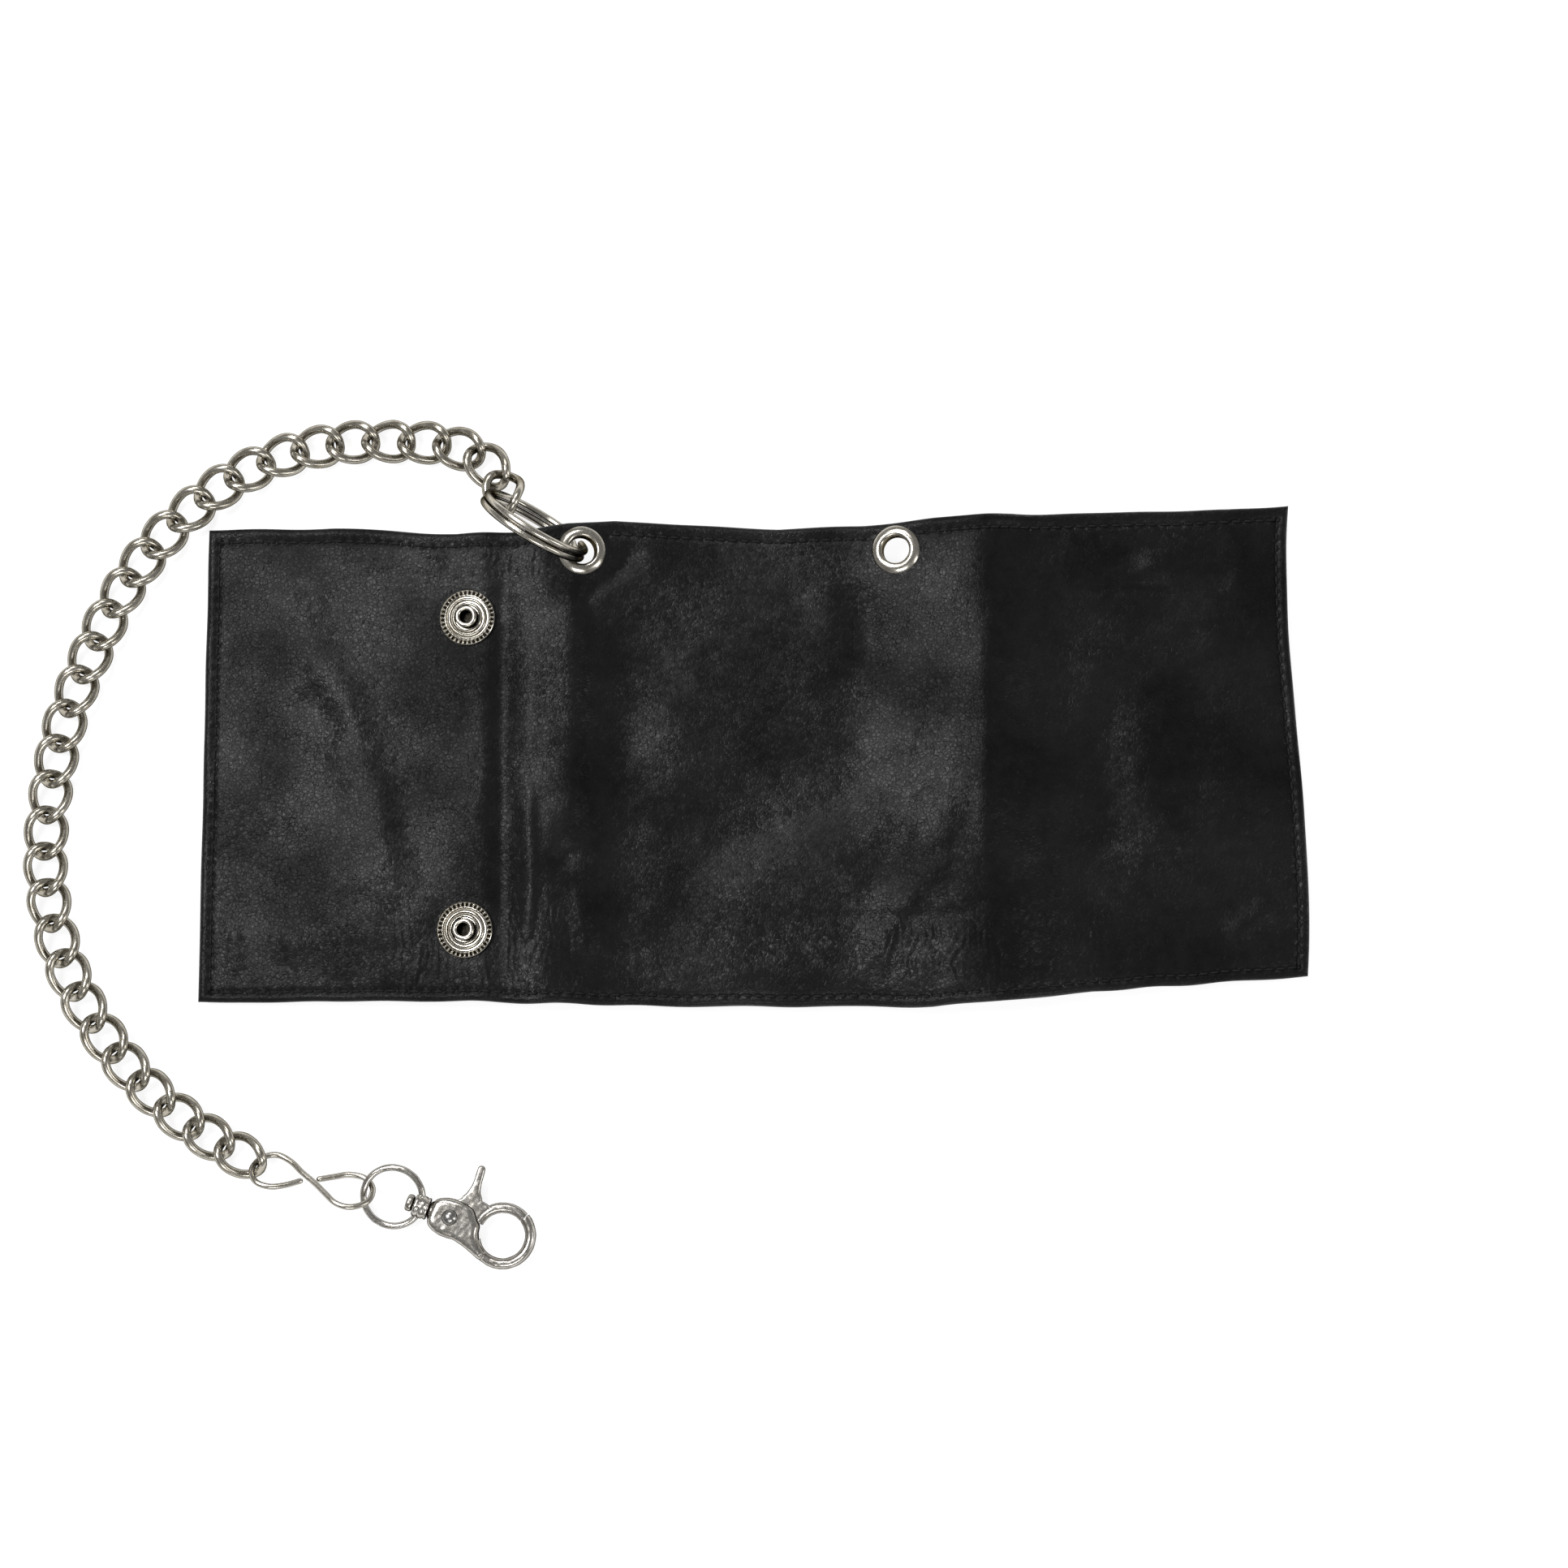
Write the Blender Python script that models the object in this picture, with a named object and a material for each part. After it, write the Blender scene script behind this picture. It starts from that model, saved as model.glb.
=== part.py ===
"""Chain wallet: a three-fold leather wallet lying open with its outside up, and a curb chain from one of its
eyelets to a trigger snap hook. Lengths in the constants are in millimetres, the model is in metres."""

import math

import bmesh
import bpy
import numpy as np
from mathutils import Matrix, Vector

MM = 0.001
SHIFT = Vector((17.33, 16.28, 0.0))  # puts the origin under the middle of the whole object

# ---- the open wallet: height of its outside face along its width, as (station, height, slope) ----
HALF_W, HALF_H = 118.0, 51.2
PROFILE = [
    (-118.0, 4.25, 0.0926), (-58.0, 9.806, 0.0926), (-53.5, 9.60, -0.04), (-50.0, 10.30, 0.30),
    (-46.5, 11.05, 0.10), (-42.2, 10.95, -0.2177), (-29.8, 8.25, -0.2177), (-20.0, 7.50, -0.03),
    (0.0, 7.40, 0.0), (15.0, 7.60, 0.03), (25.3, 8.40, 0.21), (37.3, 10.92, 0.21), (46.0, 13.30, 0.20),
    (50.5, 13.80, -0.05), (56.0, 12.30, -0.42), (61.5, 10.25, -0.28), (70.0, 8.665, -0.0826),
    (118.0, 4.70, -0.0826),
]
SKEW = math.radians(4.0)  # the right panel lies turned a little
SKEW_FROM, SKEW_TO = 38.0, 72.0
FOLD_L, FOLD_R = -44.0, 42.2  # stations of the two folds
CUT = 0.25  # half the gap at a fold

COVER = (0.0, 1.3)  # depths under the outside face
LINING = (2.0, 2.6)
POCKET_1 = (2.75, 3.35)
POCKET_2 = (3.5, 4.1)
LINING_TOP = 39.0  # the linings stop short of the top edge, where notes go in

EYELETS = {"left": (-36.0, 45.1), "right": (31.2, 44.8)}
EYELET_R = (2.95, 3.35, 5.25)  # bore, barrel, flange
STUDS = {"top": (-60.5, 30.6), "bottom": (-60.8, -36.2)}
SOCKETS = {"top": (112.7, 31.5), "bottom": (112.5, -35.3)}

# ---- split key ring ----
RING_C = Vector((-46.0, 50.0, 12.3))
RING_R, RING_WIRE = 11.9, 0.8
RING_ALONG = Vector((-0.838, 0.546, 0.0)).normalized()
RING_LEAN = math.radians(20.0)

# ---- curb chain ----
LINKS = 32
PITCH = 7.8
LINK_L, LINK_W, LINK_WIRE = 5.0, 3.9, 0.875
LINK_TWIST = math.radians(45.0)
LINK_POWER = 2.5
FIRST_ROLLS = {0: math.radians(20.0), 1: math.radians(-10.0)}
CHAIN_Z = 2.75
ROUTE = [  # where the chain lies, from the key ring to the hook
    (-52.0, 55.1, 6.4), (-54.0, 62.0, 3.4), (-59.2, 67.6, 2.85), (-66.7, 70.0, 2.75), (-74.6, 70.3, 2.75),
    (-85.4, 70.5, 2.75), (-99.6, 68.1, 2.75), (-113.2, 61.9, 2.75), (-126.3, 51.0, 2.75),
    (-135.8, 38.1, 2.75), (-142.2, 24.6, 2.75), (-147.7, 9.8, 2.75), (-150.6, -6.0, 2.75),
    (-151.5, -21.3, 2.75), (-148.7, -37.4, 2.75), (-142.7, -51.3, 2.75), (-133.4, -64.4, 2.75),
    (-122.0, -75.2, 2.75), (-108.6, -83.6, 2.75), (-96.0, -89.6, 2.9),
]

# ---- S-hook, drawn in its own plane: along its length, across it ----
S_WIRE = 0.62
S_MID = Vector((-93.5, -88.7, 3.7))
S_ALONG = Vector((0.978, -0.208, 0.0)).normalized()
S_ROLL = math.radians(-40.0)
S_LINE = [
    (-2.4, -0.9), (-5.2, -2.8), (-8.3, -4.0), (-11.4, -3.4), (-13.0, -0.6), (-11.9, 2.9), (-8.9, 4.6),
    (-5.6, 3.6), (-2.6, 1.4), (0.6, -0.6), (3.4, -2.7), (6.3, -4.7), (9.6, -4.9), (12.6, -2.6),
    (12.9, 0.9), (10.6, 3.3), (7.2, 3.4), (4.0, 2.0), (1.9, 1.0),
]

# ---- swivel snap hook, in its own frame: origin on the rivet, +X towards the hook's ring ----
HOOK_AT = Vector((-64.2, -96.7, 3.25))
HOOK_HEADING = math.atan2(-0.336, 0.942)
BOW_X, BOW_R, BOW_WIRE = -13.0, 6.35, 0.62
BOW_TILT = math.radians(14.0)
EYE_X, EYE_MID, EYE_HALF_W, EYE_HALF_T = 11.7, 5.92, 1.07, 1.45
TRIGGER_HALF_T, SLOT_HALF = 1.05, 1.25
GATE_FROM, GATE_TO = math.radians(172.0), math.radians(61.0)
TIP_AT, TAIL_AT = math.radians(57.5), math.radians(-165.0)

# ---- materials: base colour, roughness, metallic ----
FINISHES = {
    "leather": ((0.020, 0.020, 0.022), 0.48, 0.0),
    "lining": ((0.016, 0.016, 0.018), 0.85, 0.0),
    "nickel": ((0.62, 0.60, 0.55), 0.28, 1.0),
    "steel": ((0.50, 0.50, 0.50), 0.35, 1.0),
    "clear": ((0.75, 0.78, 0.80), 0.12, 0.0),
}
MATERIALS = {}


def material(kind):
    if kind not in MATERIALS:
        colour, roughness, metallic = FINISHES[kind]
        made = bpy.data.materials.new(kind)
        made.use_nodes = True
        shader = made.node_tree.nodes["Principled BSDF"]
        shader.inputs["Base Color"].default_value = (*colour, 1.0)
        shader.inputs["Roughness"].default_value = roughness
        shader.inputs["Metallic"].default_value = metallic
        MATERIALS[kind] = made
    return MATERIALS[kind]


def shape(name, points, faces, kind):
    """A mesh object from points in millimetres."""
    mesh = bpy.data.meshes.new(name)
    mesh.from_pydata([(Vector(p) + SHIFT) * MM for p in points], [], faces)
    mesh.validate()
    made = bmesh.new()
    made.from_mesh(mesh)
    bmesh.ops.recalc_face_normals(made, faces=made.faces)
    made.to_mesh(mesh)
    made.free()
    mesh.materials.append(material(kind))
    thing = bpy.data.objects.new(name, mesh)
    bpy.context.scene.collection.objects.link(thing)
    return thing


def combine(thing, other, how):
    """Joins another solid to this one, or cuts it away, and hides the other."""
    step = thing.modifiers.new(f"{how.lower()} {other.name}", "BOOLEAN")
    step.operation, step.solver, step.object = how, "EXACT", other
    other.hide_render = True
    other.display_type = "WIRE"


def bake(thing):
    """Makes a shape's booleans part of its mesh and removes the shapes they used."""
    used = [step.object for step in thing.modifiers if step.type == "BOOLEAN"]
    graph = bpy.context.evaluated_depsgraph_get()
    mesh = bpy.data.meshes.new_from_object(thing.evaluated_get(graph))
    thing.modifiers.clear()
    thing.data = mesh
    for other in used:
        bpy.data.objects.remove(other, do_unlink=True)
    tidy = bmesh.new()
    tidy.from_mesh(mesh)
    bmesh.ops.remove_doubles(tidy, verts=tidy.verts, dist=0.000002)
    bmesh.ops.dissolve_degenerate(tidy, edges=tidy.edges, dist=0.000002)
    bmesh.ops.triangulate(tidy, faces=tidy.faces)
    tidy.to_mesh(mesh)
    tidy.free()


# ---- the wallet's own surface ----
def height(station):
    """Height of the outside face at a station, and its slope there."""
    for (a, za, ma), (b, zb, mb) in zip(PROFILE, PROFILE[1:]):
        if station <= b:
            break
    span = b - a
    t = (station - a) / span
    z = (
        (2 * t**3 - 3 * t**2 + 1) * za
        + (t**3 - 2 * t**2 + t) * span * ma
        + (3 * t**2 - 2 * t**3) * zb
        + (t**3 - t**2) * span * mb
    )
    slope = (
        (6 * t**2 - 6 * t) * (za - zb) / span + (3 * t**2 - 4 * t + 1) * ma + (3 * t**2 - 2 * t) * mb
    )
    return z, slope


def heading(station):
    t = min(max((station - SKEW_FROM) / (SKEW_TO - SKEW_FROM), 0.0), 1.0)
    return SKEW * t * t * (3 - 2 * t)


FINE = np.arange(SKEW_FROM, HALF_W + 0.26, 0.25)
TURNS = np.array([heading(s) for s in FINE])
RUN_X = SKEW_FROM + np.concatenate([[0], np.cumsum(np.cos((TURNS[1:] + TURNS[:-1]) / 2))]) * 0.25
RUN_Y = np.concatenate([[0], np.cumsum(np.sin((TURNS[1:] + TURNS[:-1]) / 2))]) * 0.25


def place(station, across, depth=0.0):
    """(the point, the outward normal) of the wallet at a station, a distance up from its middle line and a depth."""
    z, slope = height(station)
    turn = heading(station)
    x = station if station < SKEW_FROM else float(np.interp(station, FINE, RUN_X))
    y = 0.0 if station < SKEW_FROM else float(np.interp(station, FINE, RUN_Y))
    steep = math.atan(slope)
    normal = Vector((-math.sin(steep) * math.cos(turn), -math.sin(steep) * math.sin(turn), math.cos(steep)))
    point = Vector((x - across * math.sin(turn), y + across * math.cos(turn), z))
    return point - depth * normal, normal


def stations(low, high, step=2.2):
    """Even stations over a span, closer together where the profile bends most."""
    knots = [s for s, _, _ in PROFILE if low + 0.4 < s < high - 0.4]
    marks = [low, *knots, high]
    found = []
    for a, b in zip(marks, marks[1:]):
        flat = abs(height(a + 1e-6)[1] - height(b - 1e-6)[1]) < 0.002 and b - a > 9
        count = 1 if flat else max(1, round((b - a) / step))
        found += [a + (b - a) * i / count for i in range(count)]
    return [*found, high]


def layer(name, span, rise, depths, kind="leather"):
    """One layer of the wallet: a slab that follows the profile."""
    marks = stations(*span)
    points, faces = [], []
    for s in marks:
        for across, depth in ((rise[0], depths[0]), (rise[1], depths[0]), (rise[1], depths[1]), (rise[0], depths[1])):
            points.append(place(s, across, depth)[0])
    for i in range(len(marks) - 1):
        a, b = 4 * i, 4 * i + 4
        faces += [(a + k, a + (k + 1) % 4, b + (k + 1) % 4, b + k) for k in range(4)]
    last = 4 * (len(marks) - 1)
    faces += [(0, 1, 2, 3), (last + 3, last + 2, last + 1, last)]
    return shape(name, points, faces, kind)


def lathe(name, outline, at, axis, kind, sides=24, start=0.0):
    """A turned solid from (radius, height along the axis) points; a radius of 0 closes on the axis."""
    axis = Vector(axis).normalized()
    side = axis.orthogonal().normalized()
    other = axis.cross(side)
    points, rings = [], []
    for radius, along in outline:
        if radius == 0:
            rings.append([len(points)])
            points.append(at + axis * along)
            continue
        rings.append(list(range(len(points), len(points) + sides)))
        for k in range(sides):
            a = start + 2 * math.pi * k / sides
            points.append(at + axis * along + radius * (math.cos(a) * side + math.sin(a) * other))
    faces = []
    closed = outline[0][0] > 0
    pairs = list(zip(rings, rings[1:])) + ([(rings[-1], rings[0])] if closed else [])
    for low, high in pairs:
        for k in range(sides):
            j = (k + 1) % sides
            if len(low) == 1:
                faces.append((low[0], high[k], high[j]))
            elif len(high) == 1:
                faces.append((low[k], low[j], high[0]))
            else:
                faces.append((low[k], low[j], high[j], high[k]))
    return shape(name, points, faces, kind)


def tube(name, line, radius, kind, sides=6, closed=False, ups=None):
    """A round wire along a line of points."""
    count = len(line)
    line = [Vector(p) for p in line]
    points = []
    up = Vector((0, 0, 1))
    for i, p in enumerate(line):
        before = line[(i - 1) % count] if closed or i else p
        after = line[(i + 1) % count] if closed or i < count - 1 else p
        along = (after - before).normalized()
        up = Vector(ups[i]) if ups else up
        up = (up - along * up.dot(along)).normalized()
        side = along.cross(up)
        for k in range(sides):
            a = 2 * math.pi * (k + 0.5) / sides
            points.append(p + radius * (math.cos(a) * side + math.sin(a) * up))
    faces = []
    for i in range(count if closed else count - 1):
        a, b = i * sides, (i + 1) % count * sides
        faces += [(a + k, a + (k + 1) % sides, b + (k + 1) % sides, b + k) for k in range(sides)]
    if not closed:
        faces += [tuple(reversed(range(sides))), tuple(range((count - 1) * sides, count * sides))]
    return shape(name, points, faces, kind)


def smooth_line(knots, step):
    """Points every step along a smooth curve through the knots."""
    knots = [np.array(k, float) for k in knots]
    ends = [2 * knots[0] - knots[1], *knots, 2 * knots[-1] - knots[-2]]
    fine = []
    for a, b, c, d in zip(ends, ends[1:], ends[2:], ends[3:]):
        for t in np.linspace(0, 1, 24, endpoint=False):
            fine.append(
                0.5 * (2 * b + (c - a) * t + (2 * a - 5 * b + 4 * c - d) * t**2 + (3 * b - a - 3 * c + d) * t**3)
            )
    fine = np.array([*fine, knots[-1]])
    far = np.concatenate([[0], np.cumsum(np.linalg.norm(np.diff(fine, axis=0), axis=1))])
    marks = np.linspace(0, far[-1], max(2, round(far[-1] / step) + 1))
    return [[float(np.interp(m, far, fine[:, k])) for k in range(fine.shape[1])] for m in marks]


# ---- the wallet ----
def build_wallet():
    low, high = -HALF_H, HALF_H
    cover_left = layer("cover_left", (-HALF_W, FOLD_L - CUT), (low, high), COVER)
    cover_center = layer("cover_center", (FOLD_L + CUT, FOLD_R - CUT), (low, high), COVER)
    cover_right = layer("cover_right", (FOLD_R + CUT, HALF_W), (low, high), COVER)
    edge = 1.6
    rise = (low + edge, LINING_TOP)
    layer("lining_left", (-HALF_W + edge, FOLD_L - CUT), rise, LINING, "lining")
    layer("lining_center", (FOLD_L + CUT, FOLD_R - CUT), rise, LINING, "lining")
    layer("lining_right", (FOLD_R + CUT, HALF_W - edge), rise, LINING, "lining")
    layer("card_slot_left_1", (-115.0, -56.0), (low + 2.4, LINING_TOP - 1.0), POCKET_1)
    layer("card_slot_left_2", (-115.0, -68.0), (low + 2.4, LINING_TOP - 1.0), POCKET_2)
    layer("card_slot_right", (72.0, 105.5), (low + 2.4, LINING_TOP - 1.0), POCKET_1)
    frame = layer("id_frame", (-29.0, 25.0), (low + 2.4, LINING_TOP - 1.0), (2.75, 3.65))
    opening = layer("id_opening", (-23.0, 19.0), (low + 9.0, LINING_TOP - 8.0), (1.9, 4.4))
    combine(frame, opening, "DIFFERENCE")
    bake(frame)
    layer("id_window", (-22.7, 18.7), (low + 9.3, LINING_TOP - 8.3), (2.85, 3.15), "clear")

    holes = [(cover_center, EYELETS["left"], 3.5), (cover_center, EYELETS["right"], 3.5)]
    holes += [(cover_left, STUDS["top"], 1.75), (cover_left, STUDS["bottom"], 1.75)]
    for n, (cover, spot, radius) in enumerate(holes):
        at, normal = place(*spot)
        drill = lathe(f"drill_{n}", [(0, -4), (radius, -4), (radius, 3), (0, 3)], at, normal, "steel", 32)
        combine(cover, drill, "DIFFERENCE")
    bake(cover_center)
    bake(cover_left)


def build_eyelets():
    bore, barrel, flange = EYELET_R
    for side, spot in EYELETS.items():
        at, normal = place(*spot)
        ring = [(bore, -2.3), (bore, 0.35), (bore + 0.35, 0.62), (4.3, 0.62), (flange, 0.25), (flange, 0.04)]
        ring += [(barrel, 0.04), (barrel, -1.95), (4.25, -1.95), (4.25, -2.3)]
        lathe(f"eyelet_{side}", ring, at, normal, "nickel")
        washer = [(3.5, -1.9), (3.5, -1.35), (5.05, -1.35), (5.05, -1.9)]
        lathe(f"eyelet_washer_{side}", washer, at, normal, "nickel")


def build_snaps():
    for which, spot in STUDS.items():
        at, normal = place(*spot)
        cap = [(0, 0.06), (5.85, 0.06), (6.0, 0.3), (5.75, 0.55), (4.7, 0.62), (4.4, 0.92), (3.0, 0.92)]
        cap += [(2.3, 1.05), (2.2, 2.2), (1.9, 2.45), (0.95, 2.45), (0.9, 1.2), (0, 1.2)]
        lathe(f"snap_stud_{which}", cap, at, normal, "nickel")
        post = [(0, 0.0), (1.6, 0.0), (1.6, -1.38), (3.5, -1.38), (3.5, -1.85), (0, -1.85)]
        lathe(f"snap_post_{which}", post, at, normal, "nickel")
    for which, spot in SOCKETS.items():
        at, normal = place(*spot)
        cup = [(0, -2.66), (5.0, -2.66), (5.0, -4.2), (4.7, -4.5), (2.65, -4.5), (2.65, -2.95), (0, -2.95)]
        lathe(f"snap_socket_{which}", cup, at, normal, "nickel")


# ---- the key ring ----
def ring_frame():
    """Two directions in the key ring's plane, and its normal."""
    away = Vector((-RING_ALONG.y, RING_ALONG.x, 0.0))
    if away.y > 0:
        away = -away
    up = away * math.sin(RING_LEAN) + Vector((0, 0, math.cos(RING_LEAN)))
    return RING_ALONG, up, RING_ALONG.cross(up)


def build_key_ring():
    along, up, axis = ring_frame()
    line, ups = [], []
    start, cross = math.radians(100.0), math.radians(30.0)
    turns = 4 * math.pi - cross - math.radians(4.0)
    steps = 76
    for i in range(steps + 1):
        a = turns * i / steps
        shift = min(max((a - 2 * math.pi + cross) / cross, 0.0), 1.0)
        off = (shift * shift * (3 - 2 * shift) - 0.5) * (2 * RING_WIRE + 0.1)
        out = along * math.cos(start + a) + up * math.sin(start + a)
        line.append(RING_C + RING_R * out + off * axis)
        ups.append(out)
    tube("key_ring", line, RING_WIRE, "nickel", 8, ups=ups)


# ---- the chain ----
def link_line(count=14):
    """A curb link's centre line in its own frame, +X along the chain, and each point's outward direction."""
    found = []
    for i in range(count):
        a = 2 * math.pi * i / count
        c, s = math.cos(a), math.sin(a)
        x = LINK_L * math.copysign(abs(c) ** (2 / LINK_POWER), c)
        y = LINK_W * math.copysign(abs(s) ** (2 / LINK_POWER), s)
        twist = LINK_TWIST * x / LINK_L
        found.append((x, y * math.cos(twist), y * math.sin(twist)))
    return found


def chain_joints():
    """The points where neighbouring links meet, one pitch apart along the route, and one at each end."""
    fine = np.array(smooth_line(ROUTE, 0.05))
    found, at = [fine[0]], 0
    while len(found) < LINKS + 1:
        far = np.linalg.norm(fine[at:] - found[-1], axis=1)
        past = int(np.argmax(far >= PITCH))
        if far[past] < PITCH:
            raise ValueError("the route is shorter than the chain")
        a, b = fine[at + past - 1], fine[at + past]
        da, db = far[past - 1], far[past]
        found.append(a + (b - a) * (PITCH - da) / (db - da))
        at += past
    return [Vector(p) for p in found]


def link_axes(i, start, end):
    """A link's own directions: along, across and up. The first stands up round the key ring."""
    along = (end - start).normalized()
    up = Vector((0, 0, 1))
    if i == 0:
        ring_along, ring_up, _ = ring_frame()
        out = (start + end) / 2 - RING_C
        a = math.atan2(out.dot(ring_up), out.dot(ring_along))
        up = ring_up * math.cos(a) - ring_along * math.sin(a)
        up = up if up.z > 0 else -up
    roll = FIRST_ROLLS.get(i, math.radians(5.0) * math.sin(2.1 * i))
    up = (up - along * up.dot(along)).normalized()
    across = up.cross(along)
    return along, math.cos(roll) * across + math.sin(roll) * up, math.cos(roll) * up - math.sin(roll) * across


def build_chain():
    meets = chain_joints()
    line = link_line()
    for i in range(LINKS):
        start, end = meets[i], meets[i + 1]
        along, across, up = link_axes(i, start, end)
        middle = (start + end) / 2
        wire = [middle + along * x + across * y + up * z for x, y, z in line]
        tube(f"link_{i:02d}", wire, LINK_WIRE, "nickel", 6, closed=True)


def build_s_hook():
    across = Vector((-S_ALONG.y, S_ALONG.x, 0.0))
    across = across * math.cos(S_ROLL) + Vector((0, 0, 1)) * math.sin(S_ROLL)
    line = [S_MID + S_ALONG * u + across * v for u, v in smooth_line(S_LINE, 1.9)]
    up = S_ALONG.cross(across)
    tube("s_hook", line, S_WIRE, "nickel", 6, ups=[up] * len(line))


# ---- the snap hook ----
def hook_point(x, y, z=0.0):
    c, s = math.cos(HOOK_HEADING), math.sin(HOOK_HEADING)
    return HOOK_AT + Vector((c * x - s * y, s * x + c * y, z))


def plate(name, outline, low, high, kind="nickel"):
    """A flat plate with this outline in the hook's frame, between two heights."""
    count = len(outline)
    points = [hook_point(x, y, z) for z in (low, high) for x, y in outline]
    faces = [tuple(reversed(range(count))), tuple(range(count, 2 * count))]
    faces += [(k, (k + 1) % count, count + (k + 1) % count, count + k) for k in range(count)]
    return shape(name, points, faces, kind)


def arc(centre, radius, start, end, steps):
    return [
        (
            centre[0] + radius * math.cos(start + (end - start) * i / steps),
            centre[1] + radius * math.sin(start + (end - start) * i / steps),
        )
        for i in range(steps + 1)
    ]


def build_bow():
    heading_axis = hook_point(1, 0) - hook_point(0, 0)
    centre = hook_point(BOW_X, 0)
    side = hook_point(0, math.cos(BOW_TILT), math.sin(BOW_TILT)) - hook_point(0, 0)
    line, ups = [], []
    for i in range(28):
        a = 2 * math.pi * i / 28
        out = math.cos(a) * heading_axis + math.sin(a) * side
        line.append(centre + BOW_R * out)
        ups.append(out)
    bow = tube("swivel_bow", line, BOW_WIRE, "nickel", 8, closed=True, ups=ups)
    collar = lathe(
        "collar", [(0, -8.3), (2.1, -8.3), (2.45, -7.9), (2.45, -5.3), (2.1, -4.9), (0, -4.9)],
        hook_point(0, 0), heading_axis, "nickel", 20,
    )
    combine(bow, collar, "UNION")
    bore = lathe(
        "bore", [(0, -9.5), (1.2, -9.5), (1.2, -4), (0, -4)], hook_point(0, 0), heading_axis, "nickel", 16
    )
    combine(bow, bore, "DIFFERENCE")
    bake(bow)


def build_hook_body():
    heading_axis = hook_point(1, 0) - hook_point(0, 0)
    cheeks = [(-4.4, -2.4), (-3.2, -3.7), (-0.6, -4.4), (2.2, -4.3), (4.6, -4.9), (6.9, -5.75), (8.7, -6.2)]
    cheeks += [(9.35, -4.6), (7.7, -3.2), (6.75, -1.4), (6.45, 0.2), (5.4, 1.6), (4.3, 3.0), (2.6, 3.7)]
    cheeks += [(0.2, 3.9), (-2.2, 3.6), (-3.9, 2.7), (-4.4, 1.4)]
    body = plate("hook_body", cheeks, -2.45, 2.45)
    eye = (EYE_X, 0.0)
    outer = arc(eye, EYE_MID + EYE_HALF_W, TAIL_AT, TIP_AT, 20)
    inner = arc(eye, EYE_MID - EYE_HALF_W, TIP_AT, TAIL_AT, 20)
    ring = plate("eye_half", outer + inner, -EYE_HALF_T, EYE_HALF_T)
    combine(body, ring, "UNION")
    stem = [(0, -9.9), (1.5, -9.9), (1.85, -9.5), (1.85, -8.5), (1.1, -8.5), (1.1, -4.75), (1.9, -4.75)]
    stem += [(1.9, -3.9), (0, -3.9)]
    combine(body, lathe("stem", stem, hook_point(0, 0), heading_axis, "nickel", 16), "UNION")
    sweep = [(-3.35, -2.9)] + arc((0.0, 0.0), 7.75, math.radians(-34), math.radians(100), 12) + [(-3.35, 6.0)]
    combine(body, plate("slot", sweep, -SLOT_HALF, SLOT_HALF), "DIFFERENCE")
    hole = [(0, -5), (1.16, -5), (1.16, 5), (0, 5)]
    combine(body, lathe("rivet_hole", hole, hook_point(0, 0), (0, 0, 1), "nickel", 16), "DIFFERENCE")
    bake(body)

    rivet = [(0, -3.15), (0.8, -3.05), (1.4, -2.8), (1.6, -2.5), (1.1, -2.5), (1.1, 2.5), (1.6, 2.5)]
    rivet += [(1.4, 2.8), (0.8, 3.05), (0, 3.15)]
    lathe("hook_rivet", rivet, hook_point(0, 0), (0, 0, 1), "steel", 16)
    strip = [(-3.28, -2.6), (-3.02, -2.6), (-3.02, 2.6), (-3.28, 2.6)]
    plate("hook_spring", strip, -0.9, 0.9, "steel")


def build_trigger():
    eye = (EYE_X, 0.0)
    outline = arc((0.0, 0.0), 2.6, math.radians(110), math.radians(292), 10)
    outline += [(3.2, -1.6), (5.2, -0.55)]
    outline += arc(eye, EYE_MID - EYE_HALF_W, GATE_FROM, GATE_TO, 10)
    outline += arc(eye, EYE_MID + EYE_HALF_W - 0.25, GATE_TO + math.radians(1.5), math.radians(128), 8)
    outline += [(5.6, 5.2), (4.4, 6.6), (3.9, 8.6), (3.5, 11.9), (2.7, 12.3), (2.0, 11.8), (2.0, 8.4)]
    outline += [(1.4, 5.6), (0.2, 3.6)]
    trigger = plate("hook_trigger", outline, -TRIGGER_HALF_T, TRIGGER_HALF_T)
    hole = [(0, -5), (1.2, -5), (1.2, 5), (0, 5)]
    combine(trigger, lathe("trigger_hole", hole, hook_point(0, 0), (0, 0, 1), "nickel", 16), "DIFFERENCE")
    bake(trigger)


def main():
    for thing in list(bpy.data.objects):
        bpy.data.objects.remove(thing, do_unlink=True)
    build_wallet()
    build_eyelets()
    build_snaps()
    build_key_ring()
    build_chain()
    build_s_hook()
    build_bow()
    build_hook_body()
    build_trigger()


main()
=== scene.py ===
"""The looks of the chain wallet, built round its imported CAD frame.

Lengths are in millimetres and measured from the middle of the open wallet, as in the CAD source; shape() turns
them into metres in the shared frame. A station is a distance along the leather from left to right, across is
the distance up from the wallet's middle line, and depth is how far a layer lies under the outside face."""

import math

import bmesh
import bpy
import numpy as np
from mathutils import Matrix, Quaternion, Vector


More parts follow.
